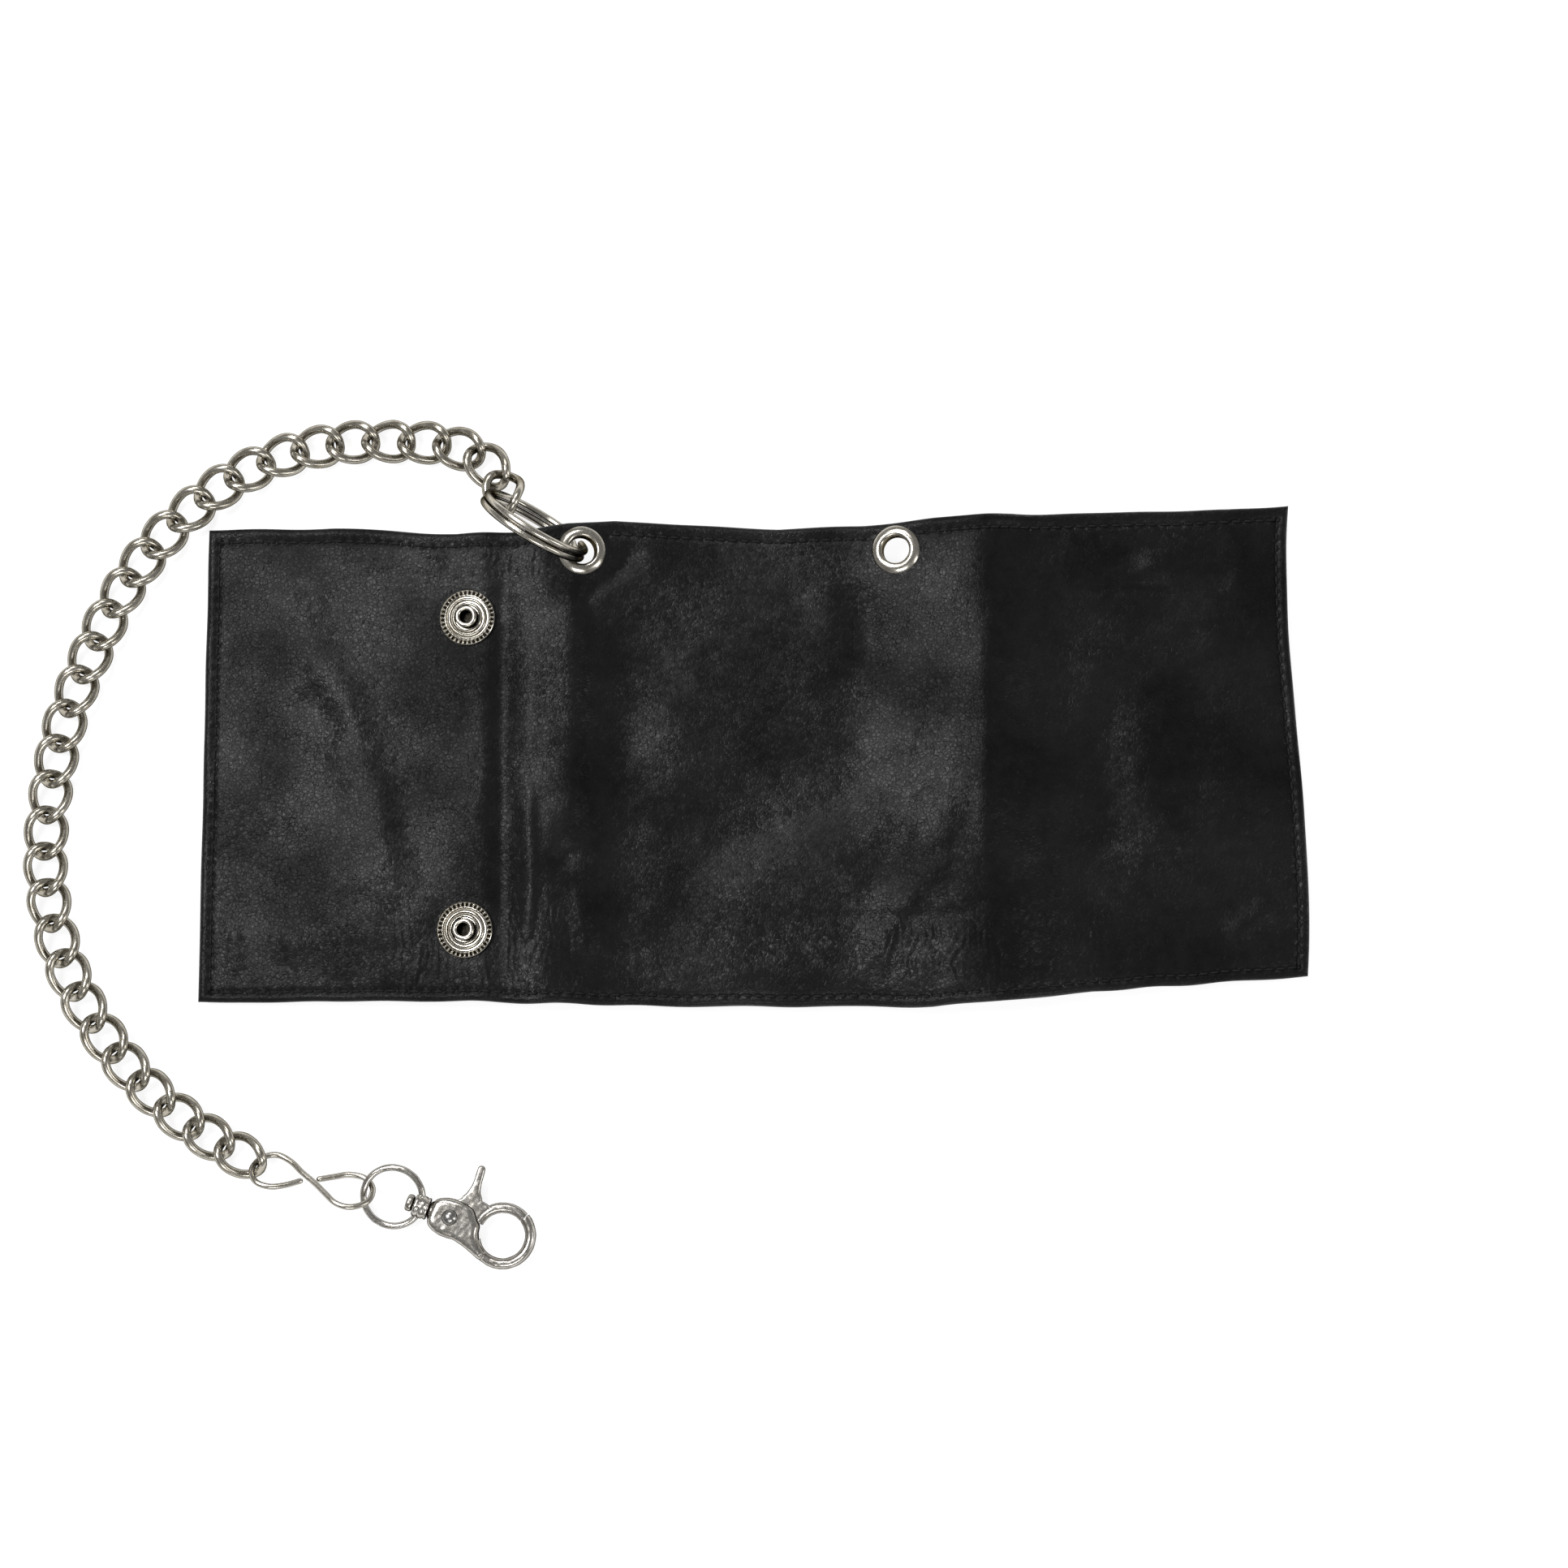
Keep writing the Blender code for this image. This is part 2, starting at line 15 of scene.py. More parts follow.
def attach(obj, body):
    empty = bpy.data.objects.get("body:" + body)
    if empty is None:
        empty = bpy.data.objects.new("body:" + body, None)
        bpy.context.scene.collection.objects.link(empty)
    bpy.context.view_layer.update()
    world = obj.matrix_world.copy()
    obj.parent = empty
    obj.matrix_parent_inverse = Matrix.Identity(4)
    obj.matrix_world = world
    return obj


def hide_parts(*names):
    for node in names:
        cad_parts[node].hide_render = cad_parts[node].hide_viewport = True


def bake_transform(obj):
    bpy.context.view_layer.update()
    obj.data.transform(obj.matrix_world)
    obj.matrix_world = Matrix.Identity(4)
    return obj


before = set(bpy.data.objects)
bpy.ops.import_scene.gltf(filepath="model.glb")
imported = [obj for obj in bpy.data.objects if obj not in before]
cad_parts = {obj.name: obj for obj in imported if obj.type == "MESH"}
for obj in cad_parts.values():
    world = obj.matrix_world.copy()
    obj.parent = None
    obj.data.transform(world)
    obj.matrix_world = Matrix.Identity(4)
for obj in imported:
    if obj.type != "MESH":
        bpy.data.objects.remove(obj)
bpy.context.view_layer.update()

MM = 0.001
SHIFT = np.array([17.33, 16.28, 0.0])

# ---- measures shared with the CAD source ----
HALF_W, HALF_H = 118.0, 51.2
PROFILE = [
    (-118.0, 4.25, 0.0926), (-58.0, 9.806, 0.0926), (-53.5, 9.60, -0.04), (-50.0, 10.30, 0.30),
    (-46.5, 11.05, 0.10), (-42.2, 10.95, -0.2177), (-29.8, 8.25, -0.2177), (-20.0, 7.50, -0.03),
    (0.0, 7.40, 0.0), (15.0, 7.60, 0.03), (25.3, 8.40, 0.21), (37.3, 10.92, 0.21), (46.0, 13.30, 0.20),
    (50.5, 13.80, -0.05), (56.0, 12.30, -0.42), (61.5, 10.25, -0.28), (70.0, 8.665, -0.0826),
    (118.0, 4.70, -0.0826),
]
SKEW = math.radians(4.0)
SKEW_FROM, SKEW_TO = 38.0, 72.0
LINING_TOP = 39.0
EYELETS = {"left": (-36.0, 45.1), "right": (31.2, 44.8)}
STUDS = {"top": (-60.5, 30.6), "bottom": (-60.8, -36.2)}
SOCKETS = {"top": (112.7, 31.5), "bottom": (112.5, -35.3)}

RING_C = np.array([-46.0, 50.0, 12.3])
RING_R, RING_WIRE = 11.9, 0.8
RING_ALONG = np.array([-0.838, 0.546, 0.0]) / math.hypot(0.838, 0.546)
RING_LEAN, RING_RISE = math.radians(16.0), 0.17

LINKS, PITCH = 32, 7.8
LINK_L, LINK_W, LINK_WIRE, LINK_LIFT = 5.0, 3.82, 0.95, 0.2
LINK_TWIST, LINK_POWER = math.radians(45.0), 2.5
FIRST_ROLLS = {0: math.radians(20.0), 1: math.radians(-10.0)}
ROUTE = [
    (-52.0, 55.1, 6.4), (-54.0, 62.0, 3.4), (-59.2, 67.6, 2.85), (-66.7, 70.0, 2.75), (-74.6, 70.3, 2.75),
    (-85.4, 70.5, 2.75), (-99.6, 68.1, 2.75), (-113.2, 61.9, 2.75), (-126.3, 51.0, 2.75),
    (-135.8, 38.1, 2.75), (-142.2, 24.6, 2.75), (-147.7, 9.8, 2.75), (-150.6, -6.0, 2.75),
    (-151.5, -21.3, 2.75), (-148.7, -37.4, 2.75), (-142.7, -51.3, 2.75), (-133.4, -64.4, 2.75),
    (-122.0, -75.2, 2.75), (-108.6, -83.6, 2.75), (-96.0, -89.6, 2.9),
]

S_WIRE = 0.62
S_MID = np.array([-93.5, -88.7, 3.7])
S_ALONG = np.array([0.978, -0.208, 0.0]) / math.hypot(0.978, 0.208)
S_ROLL = math.radians(-40.0)
S_LINE = [
    (-2.4, -0.9), (-5.2, -2.8), (-8.3, -4.0), (-11.4, -3.4), (-13.0, -0.6), (-11.9, 2.9), (-8.9, 4.6),
    (-5.6, 3.6), (-2.6, 1.4), (0.6, -0.6), (3.4, -2.7), (6.3, -4.7), (9.6, -4.9), (12.6, -2.6),
    (12.9, 0.9), (10.6, 3.3), (7.2, 3.4), (4.2, 2.0), (2.5, 1.15), (1.35, 0.6),
]

HOOK_AT = np.array([-64.2, -96.7, 3.25])
HOOK_HEADING = math.atan2(-0.336, 0.942)
BOW_X, BOW_R, BOW_WIRE, BOW_TILT = -13.0, 6.35, 0.72, math.radians(14.0)
EYE_X, EYE_MID, EYE_HALF_W, EYE_HALF_T = 11.7, 5.92, 1.18, 1.5
TRIGGER_HALF_T, SLOT_HALF = 1.05, 1.25
GATE_FROM, GATE_TO = math.radians(172.0), math.radians(59.6)
TIP_AT, TAIL_AT = math.radians(58.4), math.radians(-165.0)

# ---- measures of the fine surface ----
SEAM = -3.0  # station where the two halves of a sheet meet, under the middle panel's flattest stretch
LEATHER, HEM, HEM_WIDE = 1.35, 1.9, 6.0  # thickness of the leather, and of its turned edge
EDGE_ROUND = 0.95
STITCH, THREAD = 2.5, 0.25  # stitch pitch, thread radius
SEAM_IN = {"top": 3.0, "bottom": 2.2, "left": 2.6, "right": 2.5}  # how far in each row of stitches runs
# How far the upper and the lower edge stray, as (station, shift) pairs. These numbers are the rounded output of
# a fitting program and were not drawn by hand.
TOP_STRAY = [
    (-118, 0.0), (-90, -0.4), (-76, -1.3), (-63, -2.2), (-50, -2.0), (-39, -0.3), (-29, 0.6), (-13, -0.2),
    (6, -1.3), (24, -0.8), (39, 0.3), (59, 0.8), (87, 0.0), (105, -0.7), (118, -0.6),
]
BOTTOM_STRAY = [
    (-118, 0.2), (-60, -0.1), (-39, -0.9), (-13, -1.4), (13, -1.6), (38, -1.9), (52, -0.9), (69, 0.0),
    (118, -0.3),
]
LUMPS = 0.014  # how uneven the cast pieces are
BENDS = {"left": (-41.4, -54.2), "right": (36.7, 60.0)}  # stations between which the sheets bend
UP = np.array([0.0, 0.0, 1.0])
EYELET_HOLE, STUD_HOLE = 3.75, 2.2  # radii of the holes in the leather
CLOTH_DEPTHS, PANE_DEPTHS = (2.08, 2.6), (2.86, 3.1)
BACK_DEPTHS, FRONT_DEPTHS, FRAME_DEPTHS = (2.75, 3.35), (3.5, 4.1), (2.75, 3.65)
POCKET_GRID = 1.3
BEADS, BEAD_RING, BEAD_HALF, BEAD_RISE = 36, 5.33, 0.42, 0.62  # number, circle, half width, height
LINK_STEPS, RING_STEPS, BOW_STEPS = 56, 300, 96


# ---- geometry helpers ----
def unit(v):
    v = np.asarray(v, float)
    return v / np.linalg.norm(v)


def ease(t):
    t = np.clip(t, 0.0, 1.0)
    return t * t * (3 - 2 * t)


def add(name, data):
    """A new object in the scene."""
    thing = bpy.data.objects.new(name, data)
    bpy.context.scene.collection.objects.link(thing)
    return thing


def shape(name, points, faces, looks, sharp=None, uv=None, which=None):
    """A smooth-shaded mesh object. uv is one pair per point, and which is each face's material number."""
    mesh = bpy.data.meshes.new(name)
    mesh.from_pydata(((np.asarray(points, float) + SHIFT) * MM).tolist(), [], [list(f) for f in faces])
    mesh.validate()
    for look in looks if isinstance(looks, (list, tuple)) else [looks]:
        mesh.materials.append(look)
    if which is not None:
        mesh.polygons.foreach_set("material_index", np.asarray(which, np.int32))
    if uv is not None:
        layer = mesh.uv_layers.new(name="Flat")
        corners = np.empty(len(mesh.loops), np.int32)
        mesh.loops.foreach_get("vertex_index", corners)
        layer.data.foreach_set("uv", np.asarray(uv, np.float32)[corners].ravel())
    mesh.shade_smooth()
    if sharp is not None:
        mesh.set_sharp_from_angle(angle=math.radians(sharp))
    return add(name, mesh)


def smooth_line(knots, step, closed=False):
    """Points about every step along a smooth curve through the knots."""
    knots = [np.array(k, float) for k in knots]
    if closed:
        ends = [knots[-1], *knots, knots[0], knots[1]]
    else:
        ends = [2 * knots[0] - knots[1], *knots, 2 * knots[-1] - knots[-2]]
    fine = []
    for a, b, c, d in zip(ends, ends[1:], ends[2:], ends[3:]):
        for t in np.linspace(0, 1, 24, endpoint=False):
            fine.append(
                0.5
                * (2 * b + (c - a) * t + (2 * a - 5 * b + 4 * c - d) * t**2 + (3 * b - a - 3 * c + d) * t**3)
            )
    fine = np.array([*fine, knots[0] if closed else knots[-1]])
    far = np.concatenate([[0], np.cumsum(np.linalg.norm(np.diff(fine, axis=0), axis=1))])
    marks = np.linspace(0, far[-1], max(2, round(far[-1] / step) + 1))
    if closed:
        marks = marks[:-1]
    return np.stack([np.interp(marks, far, fine[:, k]) for k in range(fine.shape[1])], axis=1)


def lathe_parts(outline, at, axis, sides, wave=None):
    """Points and faces of a turned solid from (radius, height) pairs; a radius of 0 closes it on the axis.
    wave(angle, radius, height) may add to the height."""
    axis = unit(axis)
    side = unit(np.cross(axis, [0, 1, 0] if abs(axis[1]) < 0.9 else [1, 0, 0]))
    other = np.cross(axis, side)
    points, rings, faces = [], [], []
    for radius, along in outline:
        if radius == 0:
            rings.append([len(points)])
            points.append(at + axis * along)
            continue
        rings.append(list(range(len(points), len(points) + sides)))
        for k in range(sides):
            a = 2 * math.pi * k / sides
            rise = along + (wave(a, radius, along) if wave else 0.0)
            points.append(at + axis * rise + radius * (math.cos(a) * side + math.sin(a) * other))
    pairs = list(zip(rings, rings[1:])) + ([(rings[-1], rings[0])] if outline[0][0] > 0 else [])
    for low, high in pairs:
        for k in range(sides):
            j = (k + 1) % sides
            if len(low) == 1:
                faces.append((low[0], high[k], high[j]))
            elif len(high) == 1:
                faces.append((low[k], low[j], high[0]))
            else:
                faces.append((low[k], low[j], high[j], high[k]))
    return points, faces


def skin(rings, sides, closed=False):
    """Faces over rings of points, with a cap at each end unless the last ring meets the first."""
    faces = []
    for i in range(rings if closed else rings - 1):
        a, b = i * sides, (i + 1) % rings * sides
        faces += [(a + k, a + (k + 1) % sides, b + (k + 1) % sides, b + k) for k in range(sides)]
    if not closed:
        faces += [tuple(reversed(range(sides))), tuple(range((rings - 1) * sides, rings * sides))]
    return faces


def tube_parts(line, wide, tall=None, sides=12, closed=False, ups=None, round_ends=False):
    """Points and faces of a wire along a line, with its half width and half height."""
    line = [np.asarray(p, float) for p in line]
    count = len(line)
    tall = wide if tall is None else tall
    alongs = []
    for i, p in enumerate(line):
        before = line[(i - 1) % count] if closed or i else p
        after = line[(i + 1) % count] if closed or i < count - 1 else p
        alongs.append(unit(after - before))
    frames, up = [], UP
    for i in range(count):
        up = np.asarray(ups[i], float) if ups is not None else up
        up = unit(up - alongs[i] * (up @ alongs[i]))
        frames.append((line[i], alongs[i], up, 1.0))
    if round_ends:
        rounded = [math.radians(a) for a in (80, 55, 30)]
        first, last = frames[0], frames[-1]
        start = [(first[0] - first[1] * wide * math.sin(a), first[1], first[2], math.cos(a)) for a in rounded]
        end = [(last[0] + last[1] * wide * math.sin(a), last[1], last[2], math.cos(a)) for a in rounded]
        frames = start + frames + end[::-1]
    points = []
    for p, along, up, share in frames:
        side = np.cross(along, up)
        for k in range(sides):
            a = 2 * math.pi * (k + 0.5) / sides
            points.append(p + share * (wide * math.cos(a) * side + tall * math.sin(a) * up))
    return points, skin(len(frames), sides, closed)


def gather(*parts):
    """Several solids' points and faces as one pair of lists."""
    points, faces = [], []
    for more, links in parts:
        faces += [tuple(k + len(points) for k in f) for f in links]
        points += list(more)
    return points, faces


def turn_out(thing):
    """Makes every face point out."""
    made = bmesh.new()
    made.from_mesh(thing.data)
    bmesh.ops.recalc_face_normals(made, faces=made.faces)
    made.to_mesh(thing.data)
    made.free()
    return thing


def solid(name, parts, look, sharp=38):
    return turn_out(shape(name, *parts, look, sharp=sharp))


def stand_in(thing, slot, body, *nodes):
    """Hides the CAD nodes a piece stands for, and hangs it on the body it rides on if it doesn't bend. slot is
    not used.
    """
    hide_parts(*nodes)
    if body:
        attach(thing, body)
    return thing


# ---- the wallet's own surface ----
KNOTS = np.array(PROFILE)
FINE = np.arange(SKEW_FROM, HALF_W + 0.26, 0.25)
TURNS = SKEW * ease((FINE - SKEW_FROM) / (SKEW_TO - SKEW_FROM))
RUN_X = SKEW_FROM + np.concatenate([[0], np.cumsum(np.cos((TURNS[1:] + TURNS[:-1]) / 2))]) * 0.25
RUN_Y = np.concatenate([[0], np.cumsum(np.sin((TURNS[1:] + TURNS[:-1]) / 2))]) * 0.25


def height(station):
    """Heights of the outside face at stations, and its slopes there."""
    i = np.clip(np.searchsorted(KNOTS[:, 0], station) - 1, 0, len(KNOTS) - 2)
    a, b = KNOTS[i], KNOTS[i + 1]
    span = b[..., 0] - a[..., 0]
    t = (station - a[..., 0]) / span
    za, zb, ma, mb = a[..., 1], b[..., 1], a[..., 2], b[..., 2]
    z = (2 * t**3 - 3 * t**2 + 1) * za + (t**3 - 2 * t**2 + t) * span * ma
    z = z + (3 * t**2 - 2 * t**3) * zb + (t**3 - t**2) * span * mb
    slope = (6 * t**2 - 6 * t) * (za - zb) / span + (3 * t**2 - 4 * t + 1) * ma + (3 * t**2 - 2 * t) * mb
    return z, slope


def place(station, across, depth=0.0):
    """Points of the wallet at stations, distances across and depths, and the outward normals there."""
    station, across, depth = np.broadcast_arrays(*(np.asarray(v, float) for v in (station, across, depth)))
    z, slope = height(station)
    turn = SKEW * ease((station - SKEW_FROM) / (SKEW_TO - SKEW_FROM))
    x = np.where(station < SKEW_FROM, station, np.interp(station, FINE, RUN_X))
    y = np.where(station < SKEW_FROM, 0.0, np.interp(station, FINE, RUN_Y))
    steep = np.arctan(slope)
    normal = np.stack([-np.sin(steep) * np.cos(turn), -np.sin(steep) * np.sin(turn), np.cos(steep)], axis=-1)
    point = np.stack([x - across * np.sin(turn), y + across * np.cos(turn), z], axis=-1)
    return point - depth[..., None] * normal, normal


# ---- folds, creases and wrinkles of the leather, as a height over the plain surface ----
def ripples(x, y, length, seed, stretch=1.0):
    """Soft irregular waves of about this length, about 1 high; stretch makes them longer along y."""
    chance = np.random.default_rng(seed)
    total = np.zeros_like(x)
    for _ in range(14):
        turn, phase = chance.uniform(0, math.pi), chance.uniform(0, 2 * math.pi)
        scale = chance.uniform(0.7, 1.4)
        k = 2 * math.pi / (length * scale)
        total += np.cos(k * (x * math.cos(turn) + y / stretch * math.sin(turn)) + phase)
    return total / math.sqrt(14)


def fold(x, y, knots, rise, left, right, fade=0.25):
    """A ridge, or a groove if rise is negative, along a line of knots. left and right are how wide it is on
    each side of the line as one walks along it; it fades in and out over a share of its length at each end."""
    line = smooth_line(knots, 1.5)
    reach = 3 * max(left, right)
    near = (x > line[:, 0].min() - reach) & (x < line[:, 0].max() + reach)
    near &= (y > line[:, 1].min() - reach) & (y < line[:, 1].max() + reach)
    whole, x, y = np.zeros(x.shape), x[near], y[near]
    best, side, share = np.full(x.shape, 1e9), np.zeros(x.shape), np.zeros(x.shape)
    count = len(line) - 1
    for i, (a, b) in enumerate(zip(line, line[1:])):
        run = b - a
        t = np.clip(((x - a[0]) * run[0] + (y - a[1]) * run[1]) / (run @ run), 0, 1)
        dx, dy = x - a[0] - t * run[0], y - a[1] - t * run[1]
        far = np.hypot(dx, dy)
        closer = far < best
        best = np.where(closer, far, best)
        side = np.where(closer, run[0] * dy - run[1] * dx, side)
        share = np.where(closer, (i + t) / count, share)
    wide = np.where(side > 0, left, right)
    whole[near] = rise * ease(share / fade) * ease((1 - share) / fade) * np.exp(-((best / wide) ** 2))
    return whole


def mound(x, y, at, size, rise, turn=0.0):
    """A round bump, size across and up, turned by an angle in degrees."""
    c, s = math.cos(math.radians(turn)), math.sin(math.radians(turn))
    u, v = (x - at[0]) * c + (y - at[1]) * s, (y - at[1]) * c - (x - at[0]) * s
    return rise * np.exp(-((u / size[0]) ** 2) - (v / size[1]) ** 2)


def window(v, low, high, soft):
    return ease((v - low) / soft + 0.5) * ease((high - v) / soft + 0.5)


# A fold is a list of knots and what fold() takes after it, a mound is a place and what mound() takes after it.
# Left panel: one long diagonal fold, and rounds where the cards press through.
LEFT_FOLDS = [
    ([(-100, 40), (-95.5, 27), (-88.5, 15), (-84, 3), (-80, -8), (-78, -20), (-75, -36)], 1.1, 4.0, 8.0),
    ([(-97, 17), (-91, 9), (-86.5, 4)], -0.5, 3.5, 3.5),
    ((-82, -31), (17, 12), 1.0),
    ((-96.0, 18), (9, 22), -0.5),
    ((-97.4, -38.4), (3.4, 3.4), 0.75),
    ((-69.0, 46.6), (2.8, 2.2), 0.35),
    ((-95.5, 35.0), (4.5, 4.0), 0.6),
    ((-62.0, 17.5), (5.5, 5.5), 0.6),
    ((-60.0, -9.0), (6.5, 11.0), 0.6),
    ([(-90, 43.2), (-78, 43.6), (-66, 43.2)], 0.2, 0.8, 1.6),
    ((-104, -6), (9, 7), 0.4),
    ([(-113, -30), (-110, -38), (-111, -47)], 0.35, 1.8, 1.8),
]
# Along the left fold: a sharp crease below, a plateau above, and a dent in its flank.
CREST_FOLDS = [
    ([(-47.0, -2), (-47.1, -14), (-46.8, -26), (-47.6, -42)], 0.65, 1.5, 2.0),
    ([(-46.2, 30), (-46.6, 14), (-46.9, -2)], 0.3, 2.2, 2.6),
    ([(-38.6, 42), (-38.2, 26), (-38.0, 8), (-38.4, -10), (-39.5, -20)], 1.4, 3.2, 4.6, 0.18),
    ((-39.8, -21.0), (3.2, 2.6), -0.9, 25),
    ([(-38.5, 30), (-34.0, 36.5), (-27.5, 42), (-23.5, 47)], -0.8, 2.4, 2.4),
    ([(-36.4, -26), (-36.0, -34), (-34.6, -43)], 0.75, 2.0, 2.2),
    ([(-53.6, 42), (-53.4, 10), (-53.2, -20), (-53.4, -44)], -0.45, 2.6, 2.0, 0.1),
]
# Middle panel: it sags in its upper left, and small folds run down its lower right.
MIDDLE_SAG = [
    ((-17.5, 3.0), (6.5, 17.0), 0.6),
    ((6.0, 13.5), (15.0, 8.0), 0.8, 15),
    ((9.0, -6.0), (12.0, 7.0), -0.6, 20),
]
MIDDLE_FOLDS = [
    ([(15.5, 41), (16.0, 28), (18.5, 15)], 0.45, 4.0, 4.5),
    ([(25.5, 40), (25.0, 28), (26.5, 14)], -0.55, 4.0, 4.0),
    ((37.8, 18.0), (4.0, 6.5), 0.6),
    ((33.5, 5.0), (4.0, 5.5), 0.35),
    ([(29.0, -6), (24.5, -16), (19.5, -31)], 0.55, 4.2, 6.5),
    ([(36.5, -2), (32.5, -14), (28.5, -27)], -0.35, 3.6, 4.5),
    ([(42.4, -6), (39.6, -18), (37.2, -31)], 0.5, 3.2, 5.0),
    ([(36.5, -27), (31.5, -33), (27.5, -39), (27.5, -46)], 0.6, 2.6, 3.4),
    ([(8, -33.2), (28, -33.6), (50, -33.0)], -0.25, 0.9, 1.8),
]
# The right fold's crest, and what presses through the right panel.
RIGHT_FOLDS = [
    ([(50.3, 32), (50.0, 12), (49.6, -10), (49.4, -30)], 0.6, 2.0, 3.4),
    ((74.0, 15.5), (5.0, 7.0), 0.8),
    ([(77.5, 24), (76.0, 8), (75.5, -8), (77, -26)], -0.9, 5.5, 5.0),
    ([(87.0, 14), (86.5, 2), (87.0, -12), (92, -26)], 1.0, 5.0, 9.0),
    ((101.0, -11.0), (9.0, 13.0), 0.9),
    ((86.5, 41.0), (4.6, 2.8), 1.15),
    ([(70.0, 36.2), (80, 36.7), (94.0, 36.9)], -0.45, 0.8, 1.6),
    ((104.5, 38.2), (2.4, 3.4), 0.5),
    ((107.5, 29.0), (3.5, 2.6), 0.4),
    ([(101.5, -39.5), (107.5, -34.5), (113.5, -31)], 0.8, 3.0, 3.0, 0.3),
    ((78.0, -32.0), (9.0, 4.0), 0.4),
    ((98.0, 24.0), (8.0, 6.0), 0.35),
]


def pressed(x, y, rows, start=0.0):
    """Adds a table's folds and mounds to a height."""
    return sum((fold(x, y, *row) if isinstance(row[0], list) else mound(x, y, *row) for row in rows), start)


def middle_folds(x, y):
    toward = (y + 14.5 - 0.3 * (x - 10)) * -0.95 + (x - 10) * 0.12
    slump = 1.3 * ease((toward + 4) / 13.0) * window(x, -10, 44, 20) * window(y, -50, 12, 14)
    return pressed(x, y, MIDDLE_FOLDS, pressed(x, y, MIDDLE_SAG) + slump)


def wrinkles(x, y):
    """Fine wrinkles across the folds near the lower edge, and a few lengthwise ones."""
    wander = 0.9 * ripples(x, y, 9.0, 4) + 0.25 * ripples(x, y, 3.0, 5)
    fine = np.cos(2 * math.pi * (x + wander) / 1.55)
    fine = fine + 0.5 * np.cos(2 * math.pi * (x + wander * 1.3) / 2.3 + 1.0)
    band = window(y, -48.5, -33.5 + 2.0 * np.sin(x / 9.0), 5.0)
    spread = window(x, 26, 72, 14) + 0.9 * window(x, -76, -32, 12) + 0.5 * window(x, -114, -103, 8)
    h = 0.10 * fine * band * spread * (0.6 + 0.4 * ripples(x, y, 8.0, 6))
    top = window(y, 40, 47, 3.0) * (window(x, -56, -44, 5) + 0.6 * window(x, 52, 72, 8))
    h += 0.06 * fine * top
    level = 0.5 * ripples(x, y, 14.0, 7, 0.5)
    lines = np.cos(2 * math.pi * (y + 2.0 * level) / 3.1)
    h += 0.05 * lines * window(x, -16, 12, 10) * window(y, 14, 34, 8)
    h += 0.05 * lines * window(x, 84, 112, 10) * window(y, -28, 2, 8)
    return h


def relief(x, y):
    """Height of the leather over its plain surface; calm round the eyelets and studs, which press it flat."""
    h = pressed(x, y, LEFT_FOLDS) + pressed(x, y, CREST_FOLDS)
    h = h + middle_folds(x, y) + pressed(x, y, RIGHT_FOLDS)
    h += 0.16 * ripples(x, y, 24.0, 1) + 0.06 * ripples(x, y, 9.0, 2) + 0.018 * ripples(x, y, 3.5, 3)
    h += wrinkles(x, y)
    for spots, reach in ((EYELETS, 7.0), (STUDS, 8.2)):
        for spot in spots.values():
            at = place(*spot)[0]
            far = np.hypot(x - at[0], y - at[1])
            h = h * (1 - np.exp(-((far / reach) ** 4))) - 0.12 * np.exp(-(((far - 6.2) / 1.1) ** 2))
    return h


def rows_of_stitches():
    """Each row: the fixed coordinate's name and value, the other's start, and the number of stitches."""
    low, high = -HALF_W + SEAM_IN["left"], HALF_W - SEAM_IN["right"]
    down, up = -HALF_H + SEAM_IN["bottom"], HALF_H - SEAM_IN["top"]
    long = round((high - low) / STITCH)
    tall = round((up - down) / STITCH)
    return [
        ("across", up, low, (high - low) / long, long), ("across", down, low, (high - low) / long, long),
        ("station", low, down, (up - down) / tall, tall), ("station", high, down, (up - down) / tall, tall),
    ]


def covered(station, across, reach=5.5):
    """True where an eyelet's flange covers the leather."""
    return np.any([np.hypot(station - s, across - a) < reach for s, a in EYELETS.values()], axis=0)


def stitch_dents(station, across):
    """The groove along each row of stitches, and the hole at each end of a stitch."""
    h = np.zeros_like(station)
    for along, value, start, pitch, count in rows_of_stitches():
        crossing, running = (across, station) if along == "across" else (station, across)
        off, run = crossing - value, running - start
        inside = (run > -0.8) & (run < count * pitch + 0.8)
        near = (run + pitch / 2) % pitch - pitch / 2
        dent = -0.10 * np.exp(-((off / 0.8) ** 2)) - 0.42 * np.exp(-(off**2 + near**2) / 0.5**2)
        h += np.where(inside & ~covered(station, across), dent, 0.0)
    return h


def edge_distance(station, across):
    return np.minimum(HALF_W - np.abs(station), HALF_H - np.abs(across))


def rim(far, radius):
    """How much of its thickness a layer with a rounded edge has at a distance from that edge."""
    return np.sqrt(np.clip(1 - (1 - np.clip(far / radius, 0, 1)) ** 2, 0, 1))


def edge_puff(far):
    """The turned edge stands a little proud between the stitches and the rim."""
    return 0.16 * np.exp(-(((far - 1.2) / 0.75) ** 2))


def worn_outline(station, across):
    """How far the sheets' used edges stray from a straight outline: to the right, and up."""
    top = np.interp(station, *zip(*TOP_STRAY)) + 0.12 * ripples(station, 0 * station, 19.0, 11)
    bottom = np.interp(station, *zip(*BOTTOM_STRAY)) + 0.12 * ripples(station, 0 * station, 17.0, 12)
    lift = np.where(across > 0, top, bottom) * ease((np.abs(across) - 30.0) / (HALF_H - 30.0))
    push = (2.6 * (across / HALF_H) ** 3 - 0.4) * ease((station - 60.0) / (HALF_W - 60.0))
    push = push + (0.011 * across + 0.25) * ease((-60.0 - station) / (HALF_W - 60.0))
    return push + 0.12 * ripples(across, 0 * across, 21.0, 13) * np.abs(station / HALF_W) ** 6, lift


def place_cloth(station, across, depth=0.0):
    """Points of a sheet, which follows the worn outline."""
    push, lift = worn_outline(station, across)
    spots = place(station, across + lift, depth)[0]
    spots[..., 0] += push
    return spots


